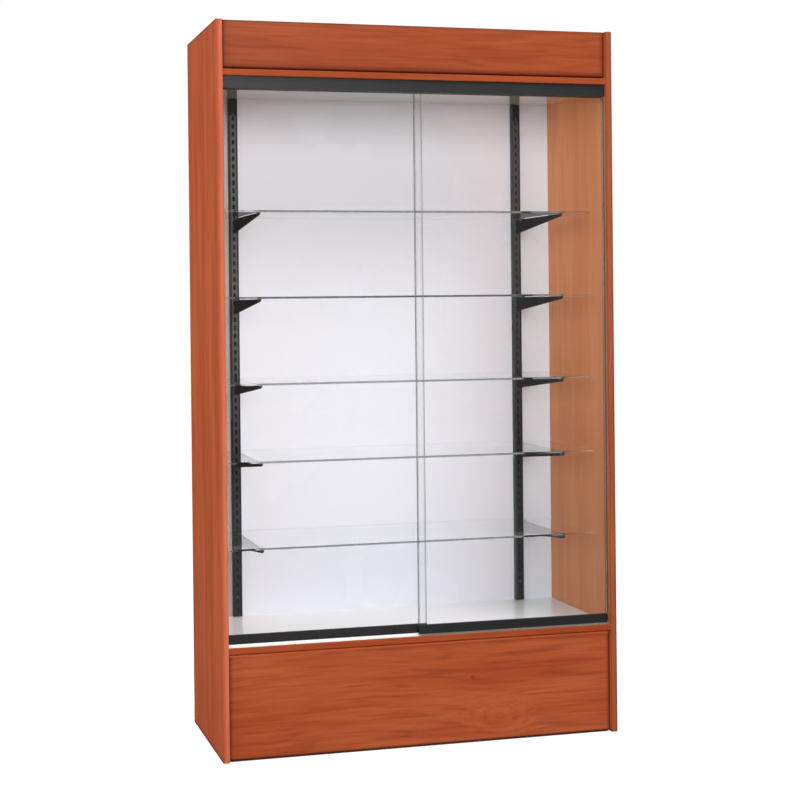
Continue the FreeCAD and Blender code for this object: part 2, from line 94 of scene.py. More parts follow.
# Dark cherry: the grain's dark tone, and also the painted shade on rims and turned edges.
CHERRY_DARK_GRAIN_AND_SHADE = srgb(106, 38, 14)
WOOD_DUST: Colour = (0.5, 0.45, 0.4)
WHITE_DUST: Colour = (0.6, 0.58, 0.55)
METAL_DUST: Colour = (0.4, 0.38, 0.35)
WHITE_LIGHT: Colour = (1.0, 1.0, 1.0)


@dataclass(frozen=True)
class Box:
    """The box round one node of the frame."""

    low: Vector
    high: Vector

    @classmethod
    def of(cls, node: str) -> "Box":
        """Reads the box of a node, by the node's name."""
        axes = list(zip(*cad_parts[node].bound_box))
        return cls(Vector([min(axis) for axis in axes]), Vector([max(axis) for axis in axes]))


STANDARD = Box.of("right_standard")
STANDARD_X = (STANDARD.low.x + STANDARD.high.x) / 2
PANEL_INNER_X = Box.of("right_side_panel").low.x
BACK_FACE_Y = Box.of("back_panel").low.y


class Lay(Enum):
    """Which way a grain or a drawn line runs, as the turn that brings that way onto the pattern's own X."""

    LEVEL = (0.0, 0.0, 0.0)
    UPRIGHT = (0.0, math.pi / 2, 0.0)
    DEEP = (0.0, 0.0, -math.pi / 2)


class Side(Enum):
    """Left or right of the case, seen from the front."""

    LEFT = "left"
    RIGHT = "right"


class SocketKind(Enum):
    """Kinds of socket on a shared effect."""

    VALUE = "NodeSocketFloat"
    COLOUR = "NodeSocketColor"
    VECTOR = "NodeSocketVector"


class NodeSheet:
    """A node tree with short calls to add nodes and wire them.

    A Mix node has sockets for each kind of value, and the numbers here are those for colours.
    """

    mix_inputs: ClassVar[tuple[int, int, int]] = (0, 6, 7)
    mix_output: ClassVar[int] = 2
    single_valued: ClassVar[tuple[str, ...]] = ("LENGTH", "DISTANCE", "DOT_PRODUCT")

    def __init__(self, tree: bpy.types.NodeTree) -> None:
        """Takes the tree that nodes are added to."""
        self.tree = tree

    def add(self, kind: str, given: Given | None = None, **settings: Any) -> bpy.types.Node:
        """Adds one node.

        Args:
            kind: The node's type.
            given: Values or sockets for its inputs, by name or by number.
            settings: Properties of the node.

        Returns:
            The new node.
        """
        node = self.tree.nodes.new(kind)
        for name, value in settings.items():
            setattr(node, name, value)
        self.fill(node, given or {})
        return node

    def fill(self, node: bpy.types.Node, given: Given) -> None:
        """Links sockets to a node's inputs, or sets the inputs' plain values.

        Args:
            node: The node.
            given: Sockets, numbers, colours or vectors, by the input's name or number.
        """
        for key, value in given.items():
            target = node.inputs[key]
            if isinstance(value, Link):
                self.tree.links.new(value, target)
            elif target.type == "RGBA" and len(value) == 3:
                target.default_value = (*value, 1.0)
            else:
                target.default_value = value

    def math(self, operation: str, *values: Any, clamp: bool = False) -> Link:
        """Adds a Math node with its inputs in order, held between 0 and 1 where that is asked."""
        node = self.add("ShaderNodeMath", dict(enumerate(values)), operation=operation, use_clamp=clamp)
        return node.outputs[0]

    def chain(self, operation: str, *values: Any) -> Link:
        """Runs one operation over several values, two at a time."""
        return reduce(lambda first, second: self.math(operation, first, second), values)

    def vector(self, operation: str, *values: Any) -> Link:
        """Adds a Vector Math node, and gives a number or a vector, as the operation does."""
        node = self.add("ShaderNodeVectorMath", dict(enumerate(values)), operation=operation)
        return node.outputs["Value" if operation in self.single_valued else "Vector"]

    def mix(self, factor: Any, first: Any, second: Any, blend: str = "MIX") -> Link:
        """Mixes two colours.

        Args:
            factor: How much of the second.
            first: The first colour.
            second: The second colour.
            blend: How they are mixed.

        Returns:
            The mixed colour.
        """
        node = self.add("ShaderNodeMix", data_type="RGBA", blend_type=blend)
        self.fill(node, dict(zip(self.mix_inputs, (factor, first, second))))
        return node.outputs[self.mix_output]

    def band(self, value: Any, low: float, high: float, start: Any = 0.0, end: Any = 1.0) -> Link:
        """Eases a value to a result that goes from a start, at the low limit, to an end, at the high one."""
        given = {0: value, 1: low, 2: high, 3: start, 4: end}
        return self.add("ShaderNodeMapRange", given, interpolation_type="SMOOTHSTEP").outputs[0]

    def past(self, value: Any, limit: float, step: float = SHARP_STEP, level: Any = 1.0) -> Link:
        """A mask that rises to a level just past a limit."""
        return self.band(value, limit, limit + step, 0.0, level)

    def before(self, value: Any, limit: float, step: float = SHARP_STEP, level: Any = 1.0) -> Link:
        """A mask that falls from a level to nothing just past a limit."""
        return self.band(value, limit, limit + step, level, 0.0)

    def noise(self, place: Any, scale: Any, layers: float = FEW_LAYERS, rough: float = 0.5) -> Link:
        """Adds a noise: where it is read, how fine it is, its finer layers and how strong those are."""
        given = {"Vector": place, "Scale": scale, "Detail": layers, "Roughness": rough}
        return self.add("ShaderNodeTexNoise", given).outputs[0]

    def grain(self, place: Any, fineness: Trio, layers: float = FEW_LAYERS, rough: float = 0.5) -> Link:
        """Adds a noise that is drawn out along the axes, by how fine it is along each."""
        return self.noise(self.vector("MULTIPLY", place, fineness), 1.0, layers, rough)

    def place(self, lay: Lay = Lay.LEVEL, offset: Trio = ORIGIN) -> Link:
        """Reads the place on the piece, turned so that a lay runs along X.

        Args:
            lay: Which way the pattern runs.
            offset: Moves the pattern, so that two boards differ.

        Returns:
            The turned place.
        """
        where = self.add("ShaderNodeTexCoord").outputs["Object"]
        given = {"Vector": where, "Location": offset, "Rotation": lay.value}
        return self.add("ShaderNodeMapping", given).outputs[0]

    def along(self, axis: str) -> Link:
        """How far along an axis of the case a place is."""
        where = self.add("ShaderNodeTexCoord").outputs["Object"]
        return self.add("ShaderNodeSeparateXYZ", {0: where}).outputs[axis]

    def apart(self, axis: str) -> Link:
        """How far from the middle of the case a place is, along an axis."""
        return self.math("ABSOLUTE", self.along(axis))

    def from_standards(self) -> Link:
        """How far from the middle of the nearer standard a place is, along X."""
        return self.math("ABSOLUTE", self.math("SUBTRACT", self.apart("X"), STANDARD_X))

    def bump(self, height: Link, strength: float, depth: float) -> Link:
        """Makes a normal from a height, by how much of it shows and how deep it is."""
        given = {"Height": height, "Strength": strength, "Distance": depth}
        return self.add("ShaderNodeBump", given).outputs[0]


@dataclass(frozen=True)
class Socket:
    """One named input or output of a shared effect."""

    name: str
    kind: SocketKind = SocketKind.VALUE
    default: Any = None


class Effect(ABC):
    """An effect that several finishes share: a node group that is built once."""

    name: str
    inputs: Sequence[Socket]
    outputs: Sequence[Socket]

    @abstractmethod
    def wire(self, sheet: NodeSheet, given: Mapping[str, Link]) -> Given:
        """Wires the inside of the group.

        Args:
            sheet: The group's nodes.
            given: The group's inputs, by name.

        Returns:
            What goes to each output, by name.
        """

    def tree(self) -> bpy.types.NodeTree:
        """Builds the group the first time, and finds it again after that.

        Returns:
            The group.
        """
        known = bpy.data.node_groups.get(self.name)
        if known:
            return known
        tree = bpy.data.node_groups.new(self.name, "ShaderNodeTree")
        for way, sockets in (("INPUT", self.inputs), ("OUTPUT", self.outputs)):
            for socket in sockets:
                made = tree.interface.new_socket(socket.name, in_out=way, socket_type=socket.kind.value)
                if socket.default is not None:
                    made.default_value = socket.default
        sheet = NodeSheet(tree)
        entry = sheet.add("NodeGroupInput")
        given = {socket.name: entry.outputs[socket.name] for socket in self.inputs}
        sheet.add("NodeGroupOutput", self.wire(sheet, given))
        return tree

    def place(self, sheet: NodeSheet, given: Given) -> bpy.types.NodeOutputs:
        """Puts the effect into a material, with its own values, and gives the effect's outputs."""
        return sheet.add("ShaderNodeGroup", given, node_tree=self.tree()).outputs


class WoodFigure(Effect):
    """Printed wood figure: broad tones, growth lines, short pores and one swirl round a knot.

    The grain runs along X. Each pattern has a fineness along each axis and a range of its noise that shows.
    """

    name = "wood_figure"
    inputs = (
        Socket("Place", SocketKind.VECTOR),
        Socket("Light", SocketKind.COLOUR, (0.5, 0.2, 0.1, 1.0)),
        Socket("Middle", SocketKind.COLOUR, (0.4, 0.1, 0.05, 1.0)),
        Socket("Dark", SocketKind.COLOUR, (0.2, 0.05, 0.02, 1.0)),
        Socket("Knot", SocketKind.VECTOR, FAR_BELOW),
        Socket("Knot Size", SocketKind.VALUE, 0.05),
        Socket("Pores", SocketKind.VALUE, 0.3),
        Socket("Strength", SocketKind.VALUE, 0.6),
        Socket("Pin", SocketKind.VECTOR, FAR_BELOW),
    )
    outputs = (Socket("Colour", SocketKind.COLOUR), Socket("Lines"), Socket("Relief"))

    drift_fineness: Trio = (1.1, 3.2, 3.2)
    drift_reach = 0.07
    tone_fineness: Trio = (1.2, 17.0, 17.0)
    tone_rough = 0.6
    tone_range: Span = (0.36, 0.66)
    line_fineness: Trio = (4.0, 95.0, 95.0)
    line_layers = 1.5
    line_range: Span = (0.42, 0.74)
    line_depth = 0.66
    hair_fineness: Trio = (8.0, 170.0, 170.0)
    hair_layers = 1.0
    hair_range: Span = (0.42, 0.7)
    hair_depth = 0.24
    pore_fineness: Trio = (9.0, 420.0, 420.0)
    pore_range: Span = (0.6, 0.74)
    knot_squeeze: Trio = (0.6, 1.0, 1.0)
    knot_fall = -0.5
    knot_push = 0.9
    knot_calm = -0.75
    ring_turns = 9.0
    ring_depth = 0.3
    pin_range: Span = (0.002, 0.01)
    pin_depth = 0.7
    relief_depth = 0.4

    def wire(self, sheet: NodeSheet, given: Mapping[str, Link]) -> Given:
        """Wires tones, lines, pores and the knot.

        Args:
            sheet: The group's nodes.
            given: The group's inputs, by name.

        Returns:
            What goes to each output, by name.
        """
        place, size = given["Place"], given["Knot Size"]
        away = sheet.vector("SUBTRACT", place, given["Knot"])
        squeezed = sheet.vector("MULTIPLY", away, self.knot_squeeze)
        reach = sheet.math("DIVIDE", sheet.vector("LENGTH", squeezed), size)
        swirl = sheet.math("POWER", math.e, sheet.chain("MULTIPLY", reach, reach, self.knot_fall))
        push = sheet.chain("MULTIPLY", swirl, size, self.knot_push)
        drift = sheet.grain(place, self.drift_fineness, MANY_LAYERS)
        shift = sheet.math("MULTIPLY_ADD", drift, self.drift_reach, push)
        offset = sheet.add("ShaderNodeCombineXYZ", {1: shift, 2: shift}).outputs[0]
        bent = sheet.vector("ADD", place, offset)
        broad = sheet.grain(bent, self.tone_fineness, MANY_LAYERS, self.tone_rough)
        tone = sheet.band(broad, *self.tone_range)
        lines = sheet.grain(bent, self.line_fineness, self.line_layers)
        hair = sheet.band(sheet.grain(bent, self.hair_fineness, self.hair_layers), *self.hair_range)
        fine = sheet.band(sheet.grain(bent, self.pore_fineness), *self.pore_range)
        pores = sheet.math("MULTIPLY", fine, given["Pores"])
        rings = sheet.math("SINE", sheet.math("MULTIPLY", reach, self.ring_turns))
        ring = sheet.chain("MULTIPLY", rings, swirl, self.ring_depth)
        growth = sheet.band(lines, *self.line_range, 0.0, self.line_depth)
        drawn = sheet.math("MULTIPLY_ADD", hair, self.hair_depth, growth)
        calm = sheet.math("MULTIPLY", drawn, sheet.math("MULTIPLY_ADD", swirl, self.knot_calm, 1.0))
        streak = sheet.math("ADD", calm, ring, clamp=True)
        base = sheet.mix(tone, given["Middle"], given["Light"])
        lined = sheet.mix(sheet.math("MULTIPLY", streak, given["Strength"]), base, given["Dark"])
        gap = sheet.vector("DISTANCE", place, given["Pin"])
        pin = sheet.band(gap, *self.pin_range, self.pin_depth, 0.0)
        colour = sheet.mix(sheet.math("MAXIMUM", pores, pin), lined, given["Dark"])
        relief = sheet.math("SUBTRACT", sheet.math("MULTIPLY", lines, self.relief_depth), pores)
        return {"Colour": colour, "Lines": streak, "Relief": relief}


class FineGrit(Effect):
    """Fine even texture of a moulded, painted or pressed surface, with slow drift in its shine."""

    name = "fine_grit"
    inputs = (
        Socket("Place", SocketKind.VECTOR),
        Socket("Grain", SocketKind.VALUE, 900.0),
        Socket("Drift", SocketKind.VALUE, 6.0),
        Socket("Least", SocketKind.VALUE, 0.3),
        Socket("Most", SocketKind.VALUE, 0.5),
    )
    outputs = (Socket("Grit"), Socket("Shade"), Socket("Roughness"))

    def wire(self, sheet: NodeSheet, given: Mapping[str, Link]) -> Given:
        """Wires the grit, a slow shade and the roughness that follows it.

        Args:
            sheet: The group's nodes.
            given: The group's inputs, by name.

        Returns:
            What goes to each output, by name.
        """
        grit = sheet.noise(given["Place"], given["Grain"])
        shade = sheet.noise(given["Place"], given["Drift"], MANY_LAYERS)
        spread = sheet.math("SUBTRACT", given["Most"], given["Least"])
        rough = sheet.math("MULTIPLY_ADD", sheet.band(shade, *NOISE_SPAN), spread, given["Least"])
        return {"Grit": grit, "Shade": shade, "Roughness": rough}


class DrawnLines(Effect):
    """Long hair lines that a die or a brush leaves along a metal section."""

    name = "drawn_lines"
    inputs = (Socket("Place", SocketKind.VECTOR), Socket("Least", default=0.3), Socket("Most", default=0.45))
    outputs = (Socket("Lines"), Socket("Roughness"))
    fineness: Trio = (1.4, 900.0, 900.0)

    def wire(self, sheet: NodeSheet, given: Mapping[str, Link]) -> Given:
        """Wires lines along X and a roughness that follows them.

        Args:
            sheet: The group's nodes.
            given: The group's inputs, by name.

        Returns:
            What goes to each output, by name.
        """
        lines = sheet.grain(given["Place"], self.fineness, MANY_LAYERS)
        spread = sheet.math("SUBTRACT", given["Most"], given["Least"])
        rough = sheet.math("MULTIPLY_ADD", sheet.band(lines, *NOISE_SPAN), spread, given["Least"])
        return {"Lines": lines, "Roughness": rough}


class Handling(Effect):
    """Marks of use: soft smears that dull a shine, and dust that settles on faces that look up."""

    name = "handling"
    inputs = (Socket("Place", SocketKind.VECTOR), Socket("Smears", default=0.1), Socket("Dust", default=0.1))
    outputs = (Socket("Smear"), Socket("Dust"))
    smear_scale = 3.0
    smear_range: Span = (0.52, 0.72)
    wipe_fineness: Trio = (20.0, 20.0, 6.0)
    wipe_layers = 4.0
    fleck_scale = 240.0
    fleck_range: Span = (0.45, 0.75)
    up_range: Span = (0.6, 1.0)

    def wire(self, sheet: NodeSheet, given: Mapping[str, Link]) -> Given:
        """Wires smears from two noises, and dust from the way a face looks.

        Args:
            sheet: The group's nodes.
            given: The group's inputs, by name.

        Returns:
            What goes to each output, by name.
        """
        broad = sheet.band(sheet.noise(given["Place"], self.smear_scale), *self.smear_range)
        wiped = sheet.grain(given["Place"], self.wipe_fineness, self.wipe_layers)
        normal = sheet.add("ShaderNodeNewGeometry").outputs["Normal"]
        looks = sheet.add("ShaderNodeSeparateXYZ", {0: normal}).outputs["Z"]
        flecks = sheet.noise(given["Place"], self.fleck_scale, MANY_LAYERS)
        fleck = sheet.band(flecks, *self.fleck_range)
        dust = sheet.chain("MULTIPLY", fleck, sheet.band(looks, *self.up_range), given["Dust"])
        return {"Smear": sheet.chain("MULTIPLY", broad, wiped, given["Smears"]), "Dust": dust}


def edge_mask(sheet: NodeSheet, across: Any) -> Link:
    """Tells the ground edges of a glass sheet from its faces, by the way a face looks.

    Args:
        sheet: The nodes of a group or a material.
        across: The way through the sheet.

    Returns:
        A mask of the edges.
    """
    flat_range = (0.8, 0.95)
    normal = sheet.add("ShaderNodeNewGeometry").outputs["True Normal"]
    flat = sheet.math("ABSOLUTE", sheet.vector("DOT_PRODUCT", normal, across))
    return sheet.band(flat, *flat_range, 1.0, 0.0)


class GlassEdge(Effect):
    """Tints the ground edges of a glass sheet with the depth that is seen through them."""

    name = "glass_edge"
    inputs = (
        Socket("Across", SocketKind.VECTOR, (0.0, 0.0, 1.0)),
        Socket("Face", SocketKind.COLOUR, (0.95, 0.97, 0.96, 1.0)),
        Socket("Edge", SocketKind.COLOUR, (0.3, 0.4, 0.35, 1.0)),
    )
    outputs = (Socket("Colour", SocketKind.COLOUR), Socket("Edge"))

    def wire(self, sheet: NodeSheet, given: Mapping[str, Link]) -> Given:
        """Wires the edge mask, and the tint from the mask."""
        edge = edge_mask(sheet, given["Across"])
        return {"Colour": sheet.mix(edge, given["Face"], given["Edge"]), "Edge": edge}


WOOD_FIGURE = WoodFigure()
FINE_GRIT = FineGrit()
DRAWN_LINES = DrawnLines()
HANDLING = Handling()
GLASS_EDGE = GlassEdge()


class Touch(ABC):
    """A change of colour on one stretch of a finish."""

    @abstractmethod
    def on(self, sheet: NodeSheet, colour: Link) -> Link:
        """Changes the colour on its stretch.

        Args:
            sheet: The material's nodes.
            colour: The colour so far.

        Returns:
            The changed colour.
        """


def inside_case(sheet: NodeSheet) -> Link:
    """A mask of what lies in front of the back panel, or on its inner face."""
    return sheet.before(sheet.along("Y"), BACK_FACE_Y + BACK_SKIN)


@dataclass(frozen=True)
class ShadedRim(Touch):
    """Soft painted shade at a board's ends, its foot and its top, where recesses and ledges shade it; a
    lighter top is painted light. Widths and depths are in that order.
    """

    board: str
    widths: Trio
    depths: Trio
    end_shade: Colour = CHERRY_DARK_GRAIN_AND_SHADE
    foot_shade: Colour = srgb(74, 24, 8)
    top_shading: Colour = srgb(100, 36, 14)

    def on(self, sheet: NodeSheet, colour: Link) -> Link:
        """Paints the shade, and any lighter top, on a board's colour.

        Args:
            sheet: The material's nodes.
            colour: The plain colour.

        Returns:
            The colour with its painted shade.
        """
        box = Box.of(self.board)
        low, high = box.low, box.high
        end_width, foot_width, top_width = self.widths
        end_depth, foot_depth, top_depth = self.depths
        height = sheet.along("Z")
        ends = sheet.band(sheet.apart("X"), high.x - end_width, high.x, 0.0, end_depth)
        foot = sheet.before(height, low.z, foot_width, foot_depth)
        top = sheet.band(height, high.z - top_width, high.z, 0.0, top_depth)
        # Painted shade in each mask; a lighter top paints light instead.
        for mask, rim in ((ends, self.end_shade), (foot, self.foot_shade), (top, self.top_shading)):
            colour = sheet.mix(mask, colour, rim)
        return colour


@dataclass(frozen=True)
class ShadedTurnedEdge(Touch):
    """Painted shade on the corners of a rounded edge band, where they turn from the light: from a start to
    the outer face, and at the inner face.
    """

    start: float
    end: float = 0.609
    inner_step: float = 0.002
    depth: float = 0.45

    def on(self, sheet: NodeSheet, colour: Link) -> Link:
        """Paints shade on both corners of the band.

        Args:
            sheet: The material's nodes.
            colour: The plain colour.

        Returns:
            The colour with its painted shade.
        """
        across = sheet.apart("X")
        outer = sheet.band(across, self.start, self.end, 0.0, self.depth)
        inner = sheet.before(across, PANEL_INNER_X, self.inner_step, self.depth)
        # Painted shade where the rounded corners turn from the light.
        return sheet.mix(sheet.math("MAXIMUM", outer, inner), colour, CHERRY_DARK_GRAIN_AND_SHADE)


@dataclass(frozen=True)
class InnerFace(Touch):
    """Lacquered inner face of a side panel, with a calmer figure and painted light: paler and cooler, as a
    painted sheen, and darker low down and towards the front.
    """

    tone: Colour
    coat: float = 0.2
    within: float = 0.6
    behind: float = -0.243
    painted_light: Colour = (1.92, 3.55, 4.1)
    low_painted_shade: Colour = (0.68, 0.68, 0.68)
    heights: Span = (0.35, 1.95)
    depths: Span = (-0.26, 0.3)
    depth_painted_light: Span = (0.75, 1.17)
    even: float = 0.5

    def mask(self, sheet: NodeSheet) -> Link:
        """A mask of the inner faces."""
        behind = sheet.past(sheet.along("Y"), self.behind, SOFT_STEP)
        return sheet.band(sheet.apart("X"), self.within - SOFT_STEP, self.within + SOFT_STEP, behind, 0.0)

    def lacquer(self, sheet: NodeSheet) -> Link:
        """The weight of the lacquer, on the inner faces alone."""
        return sheet.math("MULTIPLY", self.mask(sheet), self.coat)

    def on(self, sheet: NodeSheet, colour: Link) -> Link:
        """Evens out the figure, and paints light on it: a pale sheen, less of it low down and towards the
        front.

        Args:
            sheet: The material's nodes.
            colour: The colour of the outer face.

        Returns:
            The colour of both faces.
        """
        inside = self.mask(sheet)
        # Painted light: a pale sheen, less of it low down and towards the front.
        rise = sheet.mix(sheet.band(sheet.along("Z"), *self.heights), self.low_painted_shade, WHITE_LIGHT)
        depth = sheet.band(sheet.along("Y"), *self.depths, *self.depth_painted_light)
        painted_light = sheet.mix(1.0, sheet.mix(1.0, rise, self.painted_light, "MULTIPLY"), depth, "MULTIPLY")
        calm = sheet.mix(sheet.math("MULTIPLY", inside, self.even), colour, self.tone)
        return sheet.mix(inside, calm, painted_light, "MULTIPLY")


@dataclass(frozen=True)
class WallShade(Touch):
    """Shades on the back's inner face: by height, in the left corner and behind the two standards."""

    heights: tuple[float, float, float, float] = (0.42, 0.85, 1.5, 1.9)
    low_shade: Colour = (0.82, 0.82, 0.83)
    high_shade: Colour = (1.05, 1.05, 1.055)
    corner_shade: Colour = (0.66, 0.62, 0.53)
    corner_width: float = 0.02
    strip_colour: Colour = (0.004, 0.004, 0.004)
    strip_half: float = 0.012

    def on(self, sheet: NodeSheet, colour: Link) -> Link:
        """Shades the inner face and leaves the outer one.

        Args:
            sheet: The material's nodes.
            colour: The plain colour.

        Returns:
            The shaded colour.
        """
        height = sheet.along("Z")
        start, calm, rise, end = self.heights
        low = sheet.band(height, start, calm, 1.0, 0.0)
        high = sheet.band(height, rise, end)
        corner = sheet.before(sheet.along("X"), -STANDARD_X - self.corner_width, self.corner_width)
        shaded = colour
        for mask, shade in ((low, self.low_shade), (high, self.high_shade), (corner, self.corner_shade)):
            shaded = sheet.mix(mask, shaded, shade, "MULTIPLY")
        strip = sheet.before(sheet.from_standards(), self.strip_half - SHARP_STEP)
        return sheet.mix(inside_case(sheet), colour, sheet.mix(strip, shaded, self.strip_colour))


@dataclass(frozen=True)
class FrontEdge(Touch):
    """Another colour on a board's front edge."""

    before: float
    colour: Colour

    def on(self, sheet: NodeSheet, colour: Link) -> Link:
        """Colours what lies before the edge's limit."""
        return sheet.mix(sheet.before(sheet.along("Y"), self.before), colour, self.colour)


@dataclass(frozen=True)
class RightShade(Touch):
    """Painted shade, cool in tone, towards the right end of a white board inside the case."""

    start: float
    end: float
    tint: Colour

    def on(self, sheet: NodeSheet, colour: Link) -> Link:
        """Paints the cool shade on the right end."""
        # Painted shade: the right end is darker and cooler.
        beside = sheet.band(sheet.along("X"), self.start, self.end, 0.0, inside_case(sheet))
        return sheet.mix(beside, colour, self.tint, "MULTIPLY")


@dataclass(frozen=True)
class SlotShade(Touch):
    """Shade on a slotted standard: by height, along the folds, round the slots and above the last one;
    painted light on the right standard's inner flange.
    """

    shade: Colour = (0.006, 0.006, 0.006)
    flange_light: Colour = (0.06, 0.06, 0.062)
    flat_half: float = 0.0088
    fold_depth: float = 0.8
    slot_half: float = 0.0036
    slot_tall: float = 0.0066
    slot_first: float = 0.3524
    slot_pitch: float = 0.0254
    slots_end: float = 1.9086
    heights: Span = (0.4, 1.7)
    low_light: float = 0.05
    sides: Span = (-0.1, 0.1)
    right_light: float = 0.6
    right_slots: float = 0.35

    def on(self, sheet: NodeSheet, colour: Link) -> Link:
        """Darkens the paint with shade, and gives the inner flange of the right standard an even, painted
        light.

        Args:
            sheet: The material's nodes.
            colour: The colour of the paint.

        Returns:
            The shaded colour.
        """
        place, height, across = sheet.along("X"), sheet.along("Z"), sheet.from_standards()
        half_pitch = self.slot_pitch / 2
        rise = sheet.math("SUBTRACT", height, self.slot_first - half_pitch)
        step = sheet.math("MODULO", rise, self.slot_pitch)
        phase = sheet.math("ABSOLUTE", sheet.math("SUBTRACT", step, half_pitch))
        rims = sheet.band(place, *self.sides, 1.0, self.right_slots)
        near, level = sheet.before(across, self.slot_half), sheet.before(phase, self.slot_tall)
        slot = sheet.chain("MULTIPLY", near, level, rims)
        fold = sheet.past(across, self.flat_half, level=self.fold_depth)
        top = sheet.past(height, self.slots_end, SOFT_STEP)
        side = sheet.band(place, *self.sides, 1.0, self.right_light)
        light = sheet.math("MULTIPLY", sheet.band(height, *self.heights, self.low_light), side)
        lit = sheet.mix(light, self.shade, colour)
        painted = sheet.mix(sheet.chain("MAXIMUM", slot, fold, top), lit, self.shade)
        # Painted light: the right standard's inner flange keeps an even grey, free of the shade by height.
        inner = sheet.before(place, STANDARD_X - self.flat_half - SHARP_STEP)
        flange = sheet.math("MULTIPLY", inner, sheet.band(place, *self.sides))
        return sheet.mix(flange, painted, self.flange_light)


@dataclass(frozen=True)
class RailDarkening(Touch):
    """A darker right half of a rail's front lip, and painted shade under the rear door's shoe."""

    lip_before: float = -0.238
    lip_from: float = -0.03
    lip_rise: float = 0.02
    under_after: float = -0.2165
    under_depth: float = 0.9
    colour: Colour = (0.2, 0.17, 0.15)

    def on(self, sheet: NodeSheet, colour: Link) -> Link:
        """Darkens the metal in those places.

        Args:
            sheet: The material's nodes.
            colour: The colour of the metal.

        Returns:
            The darkened colour.
        """
        depth = sheet.along("Y")
        where = sheet.past(sheet.along("X"), self.lip_from, self.lip_rise)
        front = sheet.before(depth, self.lip_before, level=where)
        # Painted shade: the contact shadow under the rear door's shoe; the front lip's right half is darker.
        under = sheet.past(depth, self.under_after, level=self.under_depth)
        return sheet.mix(sheet.math("MAXIMUM", front, under), colour, self.colour)


class Finish(ABC):
    """A finish that can be put on a piece.

    Its relief is how much of its bumps shows and how deep they are. Its touches change its colour in places.
    """

    name: str
    smears: float
    dust: float
    relief: Span
    gloss: float = 0.5
    touches: Sequence[Touch] = ()
    made: ClassVar[dict[str, bpy.types.Material]] = {}

    @abstractmethod
    def wire(self, sheet: NodeSheet, shader: bpy.types.Node) -> None:
        """Wires the finish into its shader.

        Args:
            sheet: The material's nodes.
            shader: The material's Principled shader.
        """

    def touched(self, sheet: NodeSheet, colour: Link) -> Link:
        """Puts the finish's touches on its colour, in order."""
        return reduce(lambda so_far, touch: touch.on(sheet, so_far), self.touches, colour)

    def marks(self, sheet: NodeSheet, place: Link) -> bpy.types.NodeOutputs:
        """Puts as many marks of use into the material as the finish has."""
        return HANDLING.place(sheet, {"Place": place, "Smears": self.smears, "Dust": self.dust})

    def cover(self, sheet: NodeSheet, shader: bpy.types.Node, colour: Link, rough: Link, bumps: Link) -> None:
        """Puts colour, roughness, relief and gloss on the shader."""
        given = {"Base Color": colour, "Roughness": rough, "Normal": sheet.bump(bumps, *self.relief)}
        sheet.fill(shader, {**given, "Specular IOR Level": self.gloss})

    def material(self) -> bpy.types.Material:
        """Builds the material the first time, and finds it again after that.

        Returns:
            The material.
        """
        if self.name in self.made:
            return self.made[self.name]
        material = bpy.data.materials.new(self.name)
        self.made[self.name] = material
        material.use_nodes = True
        material.node_tree.nodes.clear()
        sheet = NodeSheet(material.node_tree)
        shader = sheet.add("ShaderNodeBsdfPrincipled")
        output = sheet.add("ShaderNodeOutputMaterial", {"Surface": shader.outputs[0]})
        output.is_active_output = True
        self.wire(sheet, shader)
        return material


class GrittyFinish(Finish):
    """A finish with a fine grit, and a shine that drifts between a least and a most roughness."""

    grain: float
    drift: float
    least: float
    most: float

    def grit(self, sheet: NodeSheet, place: Link) -> bpy.types.NodeOutputs:
        """Puts the grit into the material."""
        given = {"Grain": self.grain, "Drift": self.drift, "Least": self.least, "Most": self.most}
        return FINE_GRIT.place(sheet, {"Place": place, **given})


@dataclass(frozen=True)
class CherryLaminate(Finish):
    """Satin cherry laminate with a printed grain."""

    name: str
    lay: Lay
    light: Colour
    middle: Colour
    dark: Colour = CHERRY_DARK_GRAIN_AND_SHADE
    offset: Trio = ORIGIN
    knot: Trio = FAR_BELOW
    knot_size: float = 0.035
    pin: Trio = FAR_BELOW
    pores: float = 0.3
    strength: float = 0.55
    fineness: float = 1.0
    shine: float = 0.42
    line_shine: float = 0.08
    gloss: float = 0.14
    smears: float = 0.22
    dust: float = 0.1
    relief: Span = (0.25, 0.0002)
    inner: InnerFace | None = None
    touches: tuple[Touch, ...] = ()

    def wire(self, sheet: NodeSheet, shader: bpy.types.Node) -> None:
        """Puts the figure on the colour and a little of it on shine and surface, and lacquers inner faces.

        Args:
            sheet: The material's nodes.
            shader: The material's Principled shader.
        """
        place = sheet.place(self.lay, self.offset)
        place = sheet.vector("MULTIPLY", place, (1.0, self.fineness, self.fineness))
        figure = WOOD_FIGURE.place(sheet, {
            "Place": place, "Light": self.light, "Middle": self.middle, "Dark": self.dark, "Pin": self.pin,
            "Knot": self.knot, "Knot Size": self.knot_size, "Pores": self.pores, "Strength": self.strength,
        })
        marks = self.marks(sheet, place)
        lined = sheet.math("MULTIPLY_ADD", figure["Lines"], self.line_shine, self.shine)
        colour = sheet.mix(marks["Dust"], figure["Colour"], WOOD_DUST)
        if self.inner:
            colour = self.inner.on(sheet, colour)
            sheet.fill(shader, {"Coat Weight": self.inner.lacquer(sheet), "Coat Roughness": self.shine})
        rough = sheet.math("ADD", lined, marks["Smear"])
        self.cover(sheet, shader, self.touched(sheet, colour), rough, figure["Relief"])


